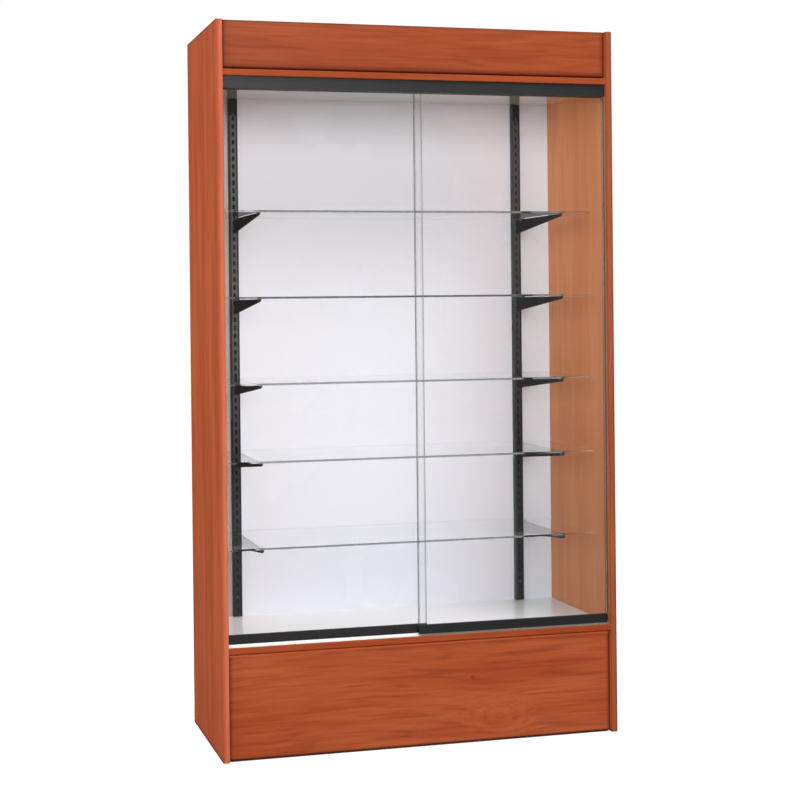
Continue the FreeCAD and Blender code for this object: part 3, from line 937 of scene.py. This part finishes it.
@dataclass(frozen=True)
class Melamine(GrittyFinish):
    """White melamine with a faint pressed texture and a soft shine."""

    name: str
    bright: Colour
    dull: Colour
    least: float = 0.25
    most: float = 0.29
    dust: float = 0.12
    coat: float = 0.0
    coat_ior: float = 1.5
    gloss: float = 0.5
    grain: float = 420.0
    drift: float = 2.2
    smears: float = 0.01
    relief: Span = (0.12, 0.0002)
    touches: tuple[Touch, ...] = ()

    def wire(self, sheet: NodeSheet, shader: bpy.types.Node) -> None:
        """Puts a slow shade and settled dust on the colour, and the pressed texture on the surface.

        Args:
            sheet: The material's nodes.
            shader: The material's Principled shader.
        """
        place = sheet.place()
        grit = self.grit(sheet, place)
        marks = self.marks(sheet, place)
        white = sheet.mix(sheet.band(grit["Shade"], *NOISE_SPAN), self.bright, self.dull)
        colour = self.touched(sheet, sheet.mix(marks["Dust"], white, WHITE_DUST))
        rough = sheet.math("ADD", grit["Roughness"], marks["Smear"])
        self.cover(sheet, shader, colour, rough, grit["Grit"])
        coat = {"Coat Weight": self.coat, "Coat Roughness": self.least, "Coat IOR": self.coat_ior}
        sheet.fill(shader, coat)


@dataclass(frozen=True)
class BareBoard(GrittyFinish):
    """Bare particle board, with its chips showing."""

    name: str = "bare_board"
    pale: Colour = srgb(196, 164, 120)
    dark: Colour = srgb(140, 104, 66)
    chip_scale: float = 190.0
    chip_depth: float = 0.6
    shade_depth: float = 0.5
    tone_range: Span = (0.3, 0.75)
    grain: float = 300.0
    drift: float = 40.0
    least: float = 0.75
    most: float = 0.95
    relief: Span = (0.4, 0.0006)

    def wire(self, sheet: NodeSheet, shader: bpy.types.Node) -> None:
        """Puts chips of two tones on the colour and their edges on the surface.

        Args:
            sheet: The material's nodes.
            shader: The material's Principled shader.
        """
        place = sheet.place()
        given = {"Vector": place, "Scale": self.chip_scale, "Randomness": 1.0}
        chips = sheet.add("ShaderNodeTexVoronoi", given).outputs["Distance"]
        grit = self.grit(sheet, place)
        chipped = sheet.math("MULTIPLY", chips, self.chip_depth)
        tone = sheet.math("MULTIPLY_ADD", grit["Shade"], self.shade_depth, chipped)
        colour = sheet.mix(sheet.band(tone, *self.tone_range), self.pale, self.dark)
        self.cover(sheet, shader, colour, grit["Roughness"], chips)


@dataclass(frozen=True)
class Coating(GrittyFinish):
    """Thin even coat over metal or a moulded part: paint, vinyl or nylon."""

    name: str
    colour: Colour
    worn: Colour
    least: float = 0.36
    most: float = 0.5
    grain: float = 1500.0
    drift: float = 14.0
    worn_range: Span = (0.4, 0.8)
    smears: float = 0.2
    dust: float = 0.1
    gloss: float = 0.5
    relief: Span = (0.2, 0.00015)
    touches: tuple[Touch, ...] = ()

    def wire(self, sheet: NodeSheet, shader: bpy.types.Node) -> None:
        """Puts slow wear, shade and dust on the colour, and a fine grit on the surface.

        Args:
            sheet: The material's nodes.
            shader: The material's Principled shader.
        """
        place = sheet.place()
        grit = self.grit(sheet, place)
        marks = self.marks(sheet, place)
        worn = sheet.mix(sheet.band(grit["Shade"], *self.worn_range), self.colour, self.worn)
        colour = sheet.mix(marks["Dust"], self.touched(sheet, worn), METAL_DUST)
        rough = sheet.math("ADD", grit["Roughness"], marks["Smear"])
        self.cover(sheet, shader, colour, rough, grit["Grit"])


@dataclass(frozen=True)
class DrawnMetal(Finish):
    """Metal section with hair lines along it: anodised aluminium or plated steel."""

    name: str
    colour: Colour
    lined: Colour
    metallic: float
    least: float
    most: float
    lay: Lay = Lay.LEVEL
    lined_range: Span = (0.35, 0.65)
    smears: float = 0.15
    dust: float = 0.08
    gloss: float = 0.5
    relief: Span = (0.1, 0.0001)
    touches: tuple[Touch, ...] = ()

    def wire(self, sheet: NodeSheet, shader: bpy.types.Node) -> None:
        """Puts the lines on the colour, the shine and the surface.

        Args:
            sheet: The material's nodes.
            shader: The material's Principled shader.
        """
        place = sheet.place(self.lay)
        drawn = DRAWN_LINES.place(sheet, {"Place": place, "Least": self.least, "Most": self.most})
        marks = self.marks(sheet, place)
        toned = sheet.mix(sheet.band(drawn["Lines"], *self.lined_range), self.colour, self.lined)
        colour = sheet.mix(marks["Dust"], self.touched(sheet, toned), METAL_DUST)
        rough = sheet.math("ADD", drawn["Roughness"], marks["Smear"])
        self.cover(sheet, shader, colour, rough, drawn["Lines"])
        sheet.fill(shader, {"Metallic": self.metallic})


@dataclass(frozen=True)
class FloatGlass(Finish):
    """Clear float glass, tinted where one looks into its edge. Lamps shine through it.

    Its upright rims can take a painted shade, and the ends of its edges painted light: a paler, warmer tint
    that a fade also thins.
    """

    name: str
    across: Trio
    edge: Colour
    face: Colour = (0.992, 0.996, 0.995)
    end: Colour | None = None
    end_range: Span = (0.47, 0.51)
    fade: float = 0.7
    rims: tuple[float, ...] = ()
    rim: Colour = WHITE_LIGHT
    rim_shade_range: Span = (0.0036, 0.006)
    ior: float = 1.5
    ground: float = 0.06
    trapped_after: float = 1.5

    def wire(self, sheet: NodeSheet, shader: bpy.types.Node) -> None:
        """Puts the tints on the colour, roughens the edges, and lets lamps and trapped rays through.

        Args:
            sheet: The material's nodes.
            shader: The material's Principled shader.
        """
        path = sheet.add("ShaderNodeLightPath").outputs
        trapped = sheet.math("GREATER_THAN", path["Glossy Depth"], self.trapped_after)
        through = sheet.chain("MAXIMUM", path["Is Shadow Ray"], path["Is Diffuse Ray"], trapped)
        edge: Any = self.edge
        face: Any = self.face
        # Painted light: the edge's ends are paler, warmer and fainter.
        if self.end:
            ends = sheet.band(sheet.apart("X"), *self.end_range)
            edge = sheet.mix(ends, self.edge, self.end)
            faint = sheet.chain("MULTIPLY", edge_mask(sheet, self.across), ends, self.fade)
            through = sheet.math("MAXIMUM", through, faint)
        # Painted shade along the upright rims.
        for rim_x in self.rims:
            away = sheet.math("ABSOLUTE", sheet.math("SUBTRACT", sheet.along("X"), rim_x))
            face = sheet.mix(sheet.band(away, *self.rim_shade_range, 1.0, 0.0), face, self.rim)
        tint = GLASS_EDGE.place(sheet, {"Across": self.across, "Face": face, "Edge": edge})
        sheet.fill(shader, {
            "Base Color": tint["Colour"],
            "Roughness": sheet.math("MULTIPLY", tint["Edge"], self.ground),
            "Transmission Weight": 1.0,
            "IOR": self.ior,
        })
        clear = sheet.add("ShaderNodeBsdfTransparent", {"Color": self.face})
        mixed = sheet.add("ShaderNodeMixShader", {0: through, 1: shader.outputs[0], 2: clear.outputs[0]})
        output = next(node for node in sheet.tree.nodes if node.type == "OUTPUT_MATERIAL")
        sheet.fill(output, {"Surface": mixed.outputs[0]})


SIDE_TONE = srgb(172, 78, 41)
SIDE_WOOD = CherryLaminate(
    "cherry_upright", Lay.UPRIGHT, srgb(186, 92, 52), SIDE_TONE, strength=0.26, gloss=0.06, fineness=0.9,
    # Painted shade along the side panels' foot and top.
    inner=InnerFace(SIDE_TONE), touches=(ShadedRim("right_side_panel", (0.016, 0.011, 0.008), (0.0, 1.0, 0.8)),),
)
FASCIA_WOOD = CherryLaminate(
    "cherry_header", Lay.LEVEL, srgb(160, 74, 37), srgb(146, 63, 28), offset=(0.7, 0.0, 0.4),
    # Painted shade at the fascia's ends and along its foot, above the ceiling's ledge.
    touches=(ShadedRim("header_fascia", (0.018, 0.022, 0.009), (0.75, 1.0, 0.8), foot_shade=srgb(106, 36, 8)),),
)
KICK_WOOD = CherryLaminate(
    "cherry_kick", Lay.LEVEL, srgb(173, 84, 47), srgb(158, 70, 35), knot=(0.2335, -0.242, 0.0722),
    pin=(0.1494, -0.242, 0.1952),
    # The kick's top is painted light, to lift the shadow under the deck's ledge; its ends and foot take
    # painted shade.
    touches=(ShadedRim("kick_panel", (0.016, 0.01, 0.009), (0.6, 1.0, 0.9), top_shading=(0.72, 0.14, 0.042)),),
)
# Lit and shaded copies of one edge band: the left is painted lighter and pinker as a painted highlight, the
# right darker as painted shade.
LIT_LEFT_EDGE = CherryLaminate(
    "cherry_edge_left_lit", Lay.UPRIGHT, srgb(200, 106, 78), srgb(192, 99, 70), pores=0.1, strength=0.25,
    gloss=0.0, touches=(ShadedTurnedEdge(0.598),),
)
SHADED_RIGHT_EDGE = CherryLaminate(
    "cherry_edge_right_shaded", Lay.UPRIGHT, srgb(157, 87, 58), srgb(147, 79, 51), pores=0.12, strength=0.3,
    gloss=0.0, touches=(ShadedTurnedEdge(0.6),),
)
LEVEL_TONE = srgb(158, 73, 39)
LEVEL_EDGE = CherryLaminate(
    "cherry_edge_level", Lay.LEVEL, LEVEL_TONE, srgb(147, 64, 32), pores=0.12, strength=0.3, gloss=0.06,
)
BACK_WHITE = Melamine(
    "white_melamine", (0.905, 0.917, 0.99), (0.893, 0.905, 0.978), gloss=0.35,
    touches=(WallShade(), RightShade(0.47, 0.5, (0.93, 1.01, 1.025))),
)
# A lit copy of the white melamine: the deck is painted brighter than the back, to stand for more light on it.
LIT_DECK_WHITE = Melamine(
    "white_deck_lit", (0.98, 0.985, 1.0), (0.965, 0.97, 0.985), 0.2, 0.26, 0.02, 0.25,
    touches=(FrontEdge(-0.245, (0.45, 0.26, 0.17)), RightShade(0.2, 0.6, (0.84, 0.99, 1.0))),
)
GLOSS_WHITE = Melamine(
    "white_gloss", (0.98, 0.98, 0.86), (0.95, 0.95, 0.83), 0.03, 0.05, 0.04, 1.0, 2.1,
    touches=(FrontEdge(-0.236, LEVEL_TONE),),
)
BOARD = BareBoard()
BLACK_STEEL = Coating(
    "black_paint", (0.022, 0.022, 0.0225), (0.03, 0.03, 0.031), 0.45, 0.6, dust=0.004, gloss=0.0,
)
WEB_STEEL = Coating(
    "dark_grey_paint", (0.115, 0.115, 0.118), (0.14, 0.14, 0.143), dust=0.004, gloss=0.08,
    touches=(SlotShade(),),
)
BLACK_SCREW = Coating("black_oxide", (0.012, 0.012, 0.013), (0.03, 0.03, 0.03), 0.3, 0.42)
BLACK_VINYL = Coating("soft_black", (0.008, 0.008, 0.008), (0.014, 0.014, 0.014), 0.5, 0.65, 900.0)
GREY_VINYL = Coating("soft_grey", (0.06, 0.065, 0.05), (0.08, 0.085, 0.065), 0.45, 0.6, 900.0)
NYLON = Coating("hard_nylon", (0.7, 0.7, 0.67), (0.62, 0.62, 0.58), 0.4, 0.5, 1100.0)
BLACK_ANODISED = DrawnMetal(
    "black_anodised", (0.012, 0.012, 0.0125), (0.018, 0.018, 0.0185), 0.0, 0.34, 0.46, gloss=0.3,
)
BRIGHT_ANODISED = DrawnMetal(
    "bright_anodised", (0.94, 0.94, 0.94), (0.86, 0.86, 0.86), 0.35, 0.28, 0.4, touches=(RailDarkening(),),
)
PLATED_STEEL = DrawnMetal("plated_steel", (0.62, 0.62, 0.61), (0.5, 0.5, 0.5), 1.0, 0.22, 0.34, Lay.DEEP)
SHELF_GLASS = FloatGlass(
    "level_glass", (0.0, 0.0, 1.0), (0.14, 0.175, 0.17), end=(0.9, 0.85, 0.75), ior=1.3,
)


def door_glass(side: Side, rim: Colour) -> FloatGlass:
    """The glass of one door.

    Args:
        side: Which door it is.
        rim: The painted shade along its two upright rims.

    Returns:
        Its finish.
    """
    box = Box.of(f"{side.value}_door_glass")
    return FloatGlass(
        f"{side.value}_sheet", (0.0, 1.0, 0.0), (0.05, 0.062, 0.055), ground=0.5,
        rims=(box.low.x, box.high.x), rim=rim,
    )


# Each door's rims take painted shade, darker on the right door.
DOOR_GLASS = {
    Side.LEFT: door_glass(Side.LEFT, (0.72, 0.735, 0.73)),
    Side.RIGHT: door_glass(Side.RIGHT, (0.6, 0.61, 0.61)),
}


class Assembly(ABC):
    """A sub-assembly of the case that builds its own pieces and dresses its nodes."""

    body: str = "case"

    @abstractmethod
    def build(self) -> Iterable[str]:
        """Builds and dresses everything in the sub-assembly.

        Returns:
            The names of the pieces it has dealt with.
        """

    @staticmethod
    def dress(node: str, finish: Finish) -> str:
        """Puts a finish on a node of the frame.

        Args:
            node: The node's name.
            finish: Its finish.

        Returns:
            The node's name.
        """
        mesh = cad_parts[node].data
        mesh.materials.clear()
        mesh.materials.append(finish.material())
        return node

    def piece(self, name: str, mesh: bmesh.types.BMesh, finish: Finish, slot: str) -> bpy.types.Object:
        """Turns a built mesh into a piece that rides with the sub-assembly.

        Args:
            name: The piece's name.
            mesh: The mesh, in the case's frame. It is used up.
            finish: The piece's finish.
            slot: The record's slot for its finish; not used.

        Returns:
            The piece.
        """
        data = bpy.data.meshes.new(name)
        bmesh.ops.recalc_face_normals(mesh, faces=mesh.faces)
        mesh.to_mesh(data)
        mesh.free()
        data.materials.append(finish.material())
        data.shade_smooth()
        data.set_sharp_from_angle(angle=SMOOTH_ANGLE)
        made = bpy.data.objects.new(name, data)
        bpy.context.scene.collection.objects.link(made)
        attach(made, self.body)
        return made


@dataclass
class PanHead:
    """A pan-head screw with a cross recess, drawn with its head up and the face it sits on at zero.

    The dome is the head's outline, in shares of its radius and height.
    """

    head_radius: float = 0.0042
    head_height: float = 0.0024
    shank_radius: float = 0.002
    shank_length: float = 0.03
    recess_arm: float = 0.0021
    recess_half: float = 0.00045
    recess_depth: float = 0.0013
    recess_taper: float = 0.7
    tip_share: float = 0.2
    tip_length: float = 0.003
    dome: Sequence[Span] = ((1.0, 0.0), (1.0, 0.42), (0.96, 0.62), (0.84, 0.84), (0.66, 0.97))
    segments: int = 36

    def ring(self, mesh: bmesh.types.BMesh, radius: float, height: float) -> Ring:
        """Adds a ring of points, and gives them in order."""
        turns = (2 * math.pi * i / self.segments for i in range(self.segments))
        return [mesh.verts.new((radius * math.cos(a), radius * math.sin(a), height)) for a in turns]

    @staticmethod
    def bridge(mesh: bmesh.types.BMesh, first: Ring, second: Ring) -> None:
        """Joins two rings of points by a band of faces.

        Args:
            mesh: Where the faces go.
            first: One ring.
            second: The other.
        """
        count = len(first)
        for i in range(count):
            j = (i + 1) % count
            mesh.faces.new((first[i], first[j], second[j], second[i]))

    @staticmethod
    def rim(mesh: bmesh.types.BMesh, ring: Ring) -> list[bmesh.types.BMEdge]:
        """The edges round a ring, in order."""
        return [mesh.edges.get(pair) for pair in zip(ring, ring[1:] + ring[:1])]

    def profile(self) -> list[Span]:
        """Draws the screw's outline, from the tip to the top of the dome.

        Returns:
            The radius and height of each ring.
        """
        shank = self.shank_radius
        tip = -self.shank_length
        foot = [(shank * self.tip_share, tip), (shank, tip + self.tip_length), (shank, 0.0)]
        return foot + [(self.head_radius * wide, self.head_height * high) for wide, high in self.dome]

    def add(self, mesh: bmesh.types.BMesh, where: Matrix) -> None:
        """Adds one screw to a mesh.

        Args:
            mesh: Where it goes.
            where: Its place and turn.
        """
        one = bmesh.new()
        rings = [self.ring(one, radius, height) for radius, height in self.profile()]
        one.faces.new(reversed(rings[0]))
        for first, second in zip(rings, rings[1:]):
            self.bridge(one, first, second)
        arm, half, top = self.recess_arm, self.recess_half, self.head_height
        corner = ((arm, -half), (arm, half), (half, half))
        cross = [(x * c - y * s, x * s + y * c) for c, s in QUARTER_TURNS for x, y in corner]
        mouth = [one.verts.new((x, y, top)) for x, y in cross]
        taper, bottom = self.recess_taper, top - self.recess_depth
        floor = [one.verts.new((x * taper, y * taper, bottom)) for x, y in cross]
        self.bridge(one, mouth, floor)
        one.faces.new(floor)
        edges = self.rim(one, mouth) + self.rim(one, rings[-1])
        bmesh.ops.triangle_fill(one, use_beauty=True, use_dissolve=False, edges=edges)
        one.transform(where)
        bmesh.ops.recalc_face_normals(one, faces=one.faces)
        data = bpy.data.meshes.new("one_screw")
        one.to_mesh(data)
        one.free()
        mesh.from_mesh(data)
        bpy.data.meshes.remove(data)


@dataclass
class Carcass(Assembly):
    """Sides, deck, ceiling, header, base and back."""

    finishes: Mapping[str, Finish] = field(default_factory=lambda: {
        "left_side_panel": SIDE_WOOD, "right_side_panel": SIDE_WOOD,
        "left_edge_band": LIT_LEFT_EDGE, "right_edge_band": SHADED_RIGHT_EDGE,
        "deck_edge_band": LEVEL_EDGE, "ceiling_edge_band": LEVEL_EDGE,
        "kick_panel": KICK_WOOD, "header_fascia": FASCIA_WOOD,
        "base_deck": LIT_DECK_WHITE, "ceiling_board": GLOSS_WHITE, "back_panel": BACK_WHITE,
        "top_panel": BOARD, "deck_support": BOARD, "kick_cleats": BOARD, "header_cleats": BOARD,
    })

    def build(self) -> Iterable[str]:
        """Dresses the boards and their bands."""
        return [self.dress(node, finish) for node, finish in self.finishes.items()]


@dataclass
class Shelving(Assembly):
    """Slotted standards with their screws, knife brackets, rests and glass shelves."""

    shelves: int = 5
    screw: PanHead = field(default_factory=PanHead)
    screw_x: Span = (-STANDARD_X, STANDARD_X)
    screw_z: Trio = (0.3905, 1.1525, 1.9145)
    standard_face: float = STANDARD.low.y
    first_turn: float = 0.4
    column_turn: float = 1.1
    row_turn: float = 0.7

    def build(self) -> Iterable[str]:
        """Dresses the shelving and makes its screws.

        Returns:
            The names of the pieces it has dealt with.
        """
        done = [self.screws()]
        for side in Side:
            done.append(self.dress(f"{side.value}_standard", WEB_STEEL))
        for number in range(1, self.shelves + 1):
            done.append(self.dress(f"glass_shelf_{number}", SHELF_GLASS))
            for side in Side:
                done.append(self.dress(f"{side.value}_bracket_{number}", BLACK_STEEL))
        done.append(self.dress("shelf_rests", BLACK_VINYL))
        return done

    def screws(self) -> str:
        """Makes the screws of the standards, each turned a little differently.

        Returns:
            The name of the piece that holds them.
        """
        mesh = bmesh.new()
        outward = Matrix.Rotation(math.pi / 2, 4, "X")
        for i, x in enumerate(self.screw_x):
            for j, z in enumerate(self.screw_z):
                angle = self.first_turn + self.column_turn * i + self.row_turn * j
                place = Matrix.Translation((x, self.standard_face, z))
                self.screw.add(mesh, place @ outward @ Matrix.Rotation(angle, 4, "Z"))
        made = self.piece("standard_screws_detail", mesh, BLACK_SCREW, "black_screw")
        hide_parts("standard_screws")
        return made.name


@dataclass
class Tracks(Assembly):
    """Upper channel, lower rail with its screws, and the soft jamb strips."""

    screw: PanHead = field(default_factory=lambda: PanHead(
        head_radius=0.0034, head_height=0.0012, shank_radius=0.0015, shank_length=0.0025,
        recess_arm=0.0017, recess_half=0.0004, recess_depth=0.0008,
    ))
    screw_x: tuple[float, ...] = (-0.54, -0.27, 0.0, 0.27, 0.54)
    screw_y: float = -0.219
    base_top: float = 0.331
    first_turn: float = 0.3
    next_turn: float = 0.9

    def build(self) -> Iterable[str]:
        """Dresses the tracks and strips and makes the rail's screws.

        Returns:
            The names of the pieces it has dealt with.
        """
        done = [self.dress("upper_track", BLACK_ANODISED), self.dress("lower_track", BRIGHT_ANODISED)]
        done += [self.dress(f"{side.value}_jamb_bumper", GREY_VINYL) for side in Side]
        mesh = bmesh.new()
        for i, x in enumerate(self.screw_x):
            turn = Matrix.Rotation(self.first_turn + self.next_turn * i, 4, "Z")
            self.screw.add(mesh, Matrix.Translation((x, self.screw_y, self.base_top)) @ turn)
        done.append(self.piece("lower_track_screws", mesh, PLATED_STEEL, "bright_aluminium").name)
        return done


@dataclass
class SlidingDoor(Assembly):
    """One glass door with its lining, shoe, axles and rollers."""

    side: Side

    def __post_init__(self) -> None:
        """Names the body that the door rides on."""
        self.body = f"{self.side.value}_door"

    def build(self) -> Iterable[str]:
        """Dresses the door.

        Returns:
            The names of the pieces it has dealt with.
        """
        finishes = {
            "glass": DOOR_GLASS[self.side], "glazing": BLACK_VINYL, "shoe": BLACK_ANODISED,
            "axles": BLACK_SCREW, "left_roller": NYLON, "right_roller": NYLON,
        }
        return [self.dress(f"{self.body}_{part}", finish) for part, finish in finishes.items()]


@dataclass(frozen=True)
class Lamp:
    """A soft box that looks at the case."""

    name: str
    place: Trio
    target: Trio
    width: float
    height: float
    watts: float

    def build(self) -> None:
        """Makes the lamp and turns it to its target."""
        data = bpy.data.lights.new(self.name, "AREA")
        data.shape = "RECTANGLE"
        data.size, data.size_y, data.energy = self.width, self.height, self.watts
        made = bpy.data.objects.new(self.name, data)
        made.location = self.place
        away = Vector(self.target) - Vector(self.place)
        made.rotation_euler = away.to_track_quat("-Z", "Y").to_euler()
        bpy.context.scene.collection.objects.link(made)


@dataclass
class Studio:
    """Floor, backdrop, lamps and the camera at the photograph's place."""

    floor_half: float = 14.0
    floor_drop: float = 0.0002
    floor_colour: Colour = (0.33, 0.33, 0.33)
    floor_mirrored: Colour = (0.15, 0.15, 0.15)
    floor_rough: float = 0.8
    floor_gloss: float = 0.1
    floor_lift: float = 0.85
    case_half: float = 0.585
    case_depth: float = 0.243
    ambient: float = 0.5
    mirrored: float = 0.16
    straight_before: float = 0.5
    lamps: tuple[Lamp, ...] = (
        Lamp("key", (4.0, -5.4, 8.0), (0.0, 0.0, 1.0), 4.0, 3.0, 450.0),
        Lamp("front", (-0.9, -6.4, 2.5), (0.0, 0.0, 1.3), 2.4, 2.4, 195.0),
        Lamp("side", (-4.6, -1.2, 2.2), (-0.4, 0.0, 1.2), 2.0, 2.4, 130.0),
    )
    camera_place: Trio = (-1.465632, -4.995251, 1.322303)
    yaw: float = 0.263435
    pitch: float = -0.005446
    roll: float = -0.010309
    lens: float = 75.55
    sensor: float = 36.0
    sight: float = 100.0
    shift_x: float = 0.048016
    shift_y: float = -0.11251

    def build(self) -> None:
        """Makes the whole studio."""
        self.floor()
        self.world()
        for lamp in self.lamps:
            lamp.build()
        self.camera()
        bpy.context.scene.view_settings.view_transform = "Standard"

    def seen(self, sheet: NodeSheet) -> Link:
        """Finds the rays that look at the backdrop straight or through glass, without a mirror on the way.

        Args:
            sheet: The nodes of the floor or the world.

        Returns:
            A mask of those rays.
        """
        path = sheet.add("ShaderNodeLightPath").outputs
        straight = sheet.math("LESS_THAN", path["Glossy Depth"], self.straight_before)
        through = sheet.math("MULTIPLY", path["Is Transmission Ray"], straight)
        return sheet.math("MAXIMUM", path["Is Camera Ray"], through)

    def floor_finish(self) -> bpy.types.Material:
        """Makes the floor's pale finish, which is not lifted under the case.

        Returns:
            The material.
        """
        material = bpy.data.materials.new("pale_floor")
        material.use_nodes = True
        sheet = NodeSheet(material.node_tree)
        glossy = sheet.add("ShaderNodeLightPath").outputs["Is Glossy Ray"]
        beside = sheet.past(sheet.apart("X"), self.case_half, SOFT_STEP)
        beyond = sheet.past(sheet.apart("Y"), self.case_depth - SOFT_STEP, SOFT_STEP)
        outside = sheet.math("MAXIMUM", beside, beyond)
        sheet.fill(material.node_tree.nodes["Principled BSDF"], {
            "Base Color": sheet.mix(glossy, self.floor_colour, self.floor_mirrored),
            "Roughness": self.floor_rough,
            "Specular IOR Level": self.floor_gloss,
            "Emission Color": WHITE_LIGHT,
            "Emission Strength": sheet.chain("MULTIPLY", self.seen(sheet), self.floor_lift, outside),
        })
        return material

    def floor(self) -> None:
        """A pale floor that keeps the shadow of the case."""
        half, z = self.floor_half, -self.floor_drop
        data = bpy.data.meshes.new("floor")
        corners = [(-half, -half, z), (half, -half, z), (half, half, z), (-half, half, z)]
        data.from_pydata(corners, [], [(0, 1, 2, 3)])
        data.materials.append(self.floor_finish())
        made = bpy.data.objects.new("floor", data)
        bpy.context.scene.collection.objects.link(made)

    def world(self) -> None:
        """A white backdrop that lights the case only softly, and shows even less in its shine."""
        world = bpy.data.worlds.new("backdrop")
        bpy.context.scene.world = world
        world.use_nodes = True
        sheet = NodeSheet(world.node_tree)
        glossy = sheet.add("ShaderNodeLightPath").outputs["Is Glossy Ray"]
        lit = sheet.math("MULTIPLY_ADD", glossy, self.mirrored - self.ambient, self.ambient)
        strength = sheet.math("MAXIMUM", self.seen(sheet), lit)
        sheet.fill(world.node_tree.nodes["Background"], {"Color": WHITE_LIGHT, "Strength": strength})

    def camera(self) -> None:
        """The camera, where the photograph was taken from."""
        ahead = math.cos(self.pitch)
        forward = Vector((math.sin(self.yaw) * ahead, math.cos(self.yaw) * ahead, math.sin(self.pitch)))
        level = Vector((math.cos(self.yaw), -math.sin(self.yaw), 0.0))
        above = level.cross(forward)
        right = level * math.cos(self.roll) + above * math.sin(self.roll)
        up = above * math.cos(self.roll) - level * math.sin(self.roll)
        data = bpy.data.cameras.new("camera")
        data.sensor_width = self.sensor
        data.lens = self.lens
        data.shift_x, data.shift_y = self.shift_x, self.shift_y
        data.clip_end = self.sight
        made = bpy.data.objects.new("camera", data)
        turn = Matrix((right, up, -forward)).transposed().to_4x4()
        made.matrix_world = Matrix.Translation(self.camera_place) @ turn
        bpy.context.scene.collection.objects.link(made)
        bpy.context.scene.camera = made


def main() -> None:
    """Builds the sub-assemblies in order, then the studio."""
    logging.basicConfig(level=logging.INFO, format="%(name)s: %(message)s")
    assemblies: list[Assembly] = [Carcass(), Shelving(), Tracks()]
    assemblies += [SlidingDoor(side) for side in Side]
    for assembly in assemblies:
        for name in assembly.build():
            LOG.info("%s: %s", type(assembly).__name__, name)
    Studio().build()


if __name__ == "__main__":
    main()
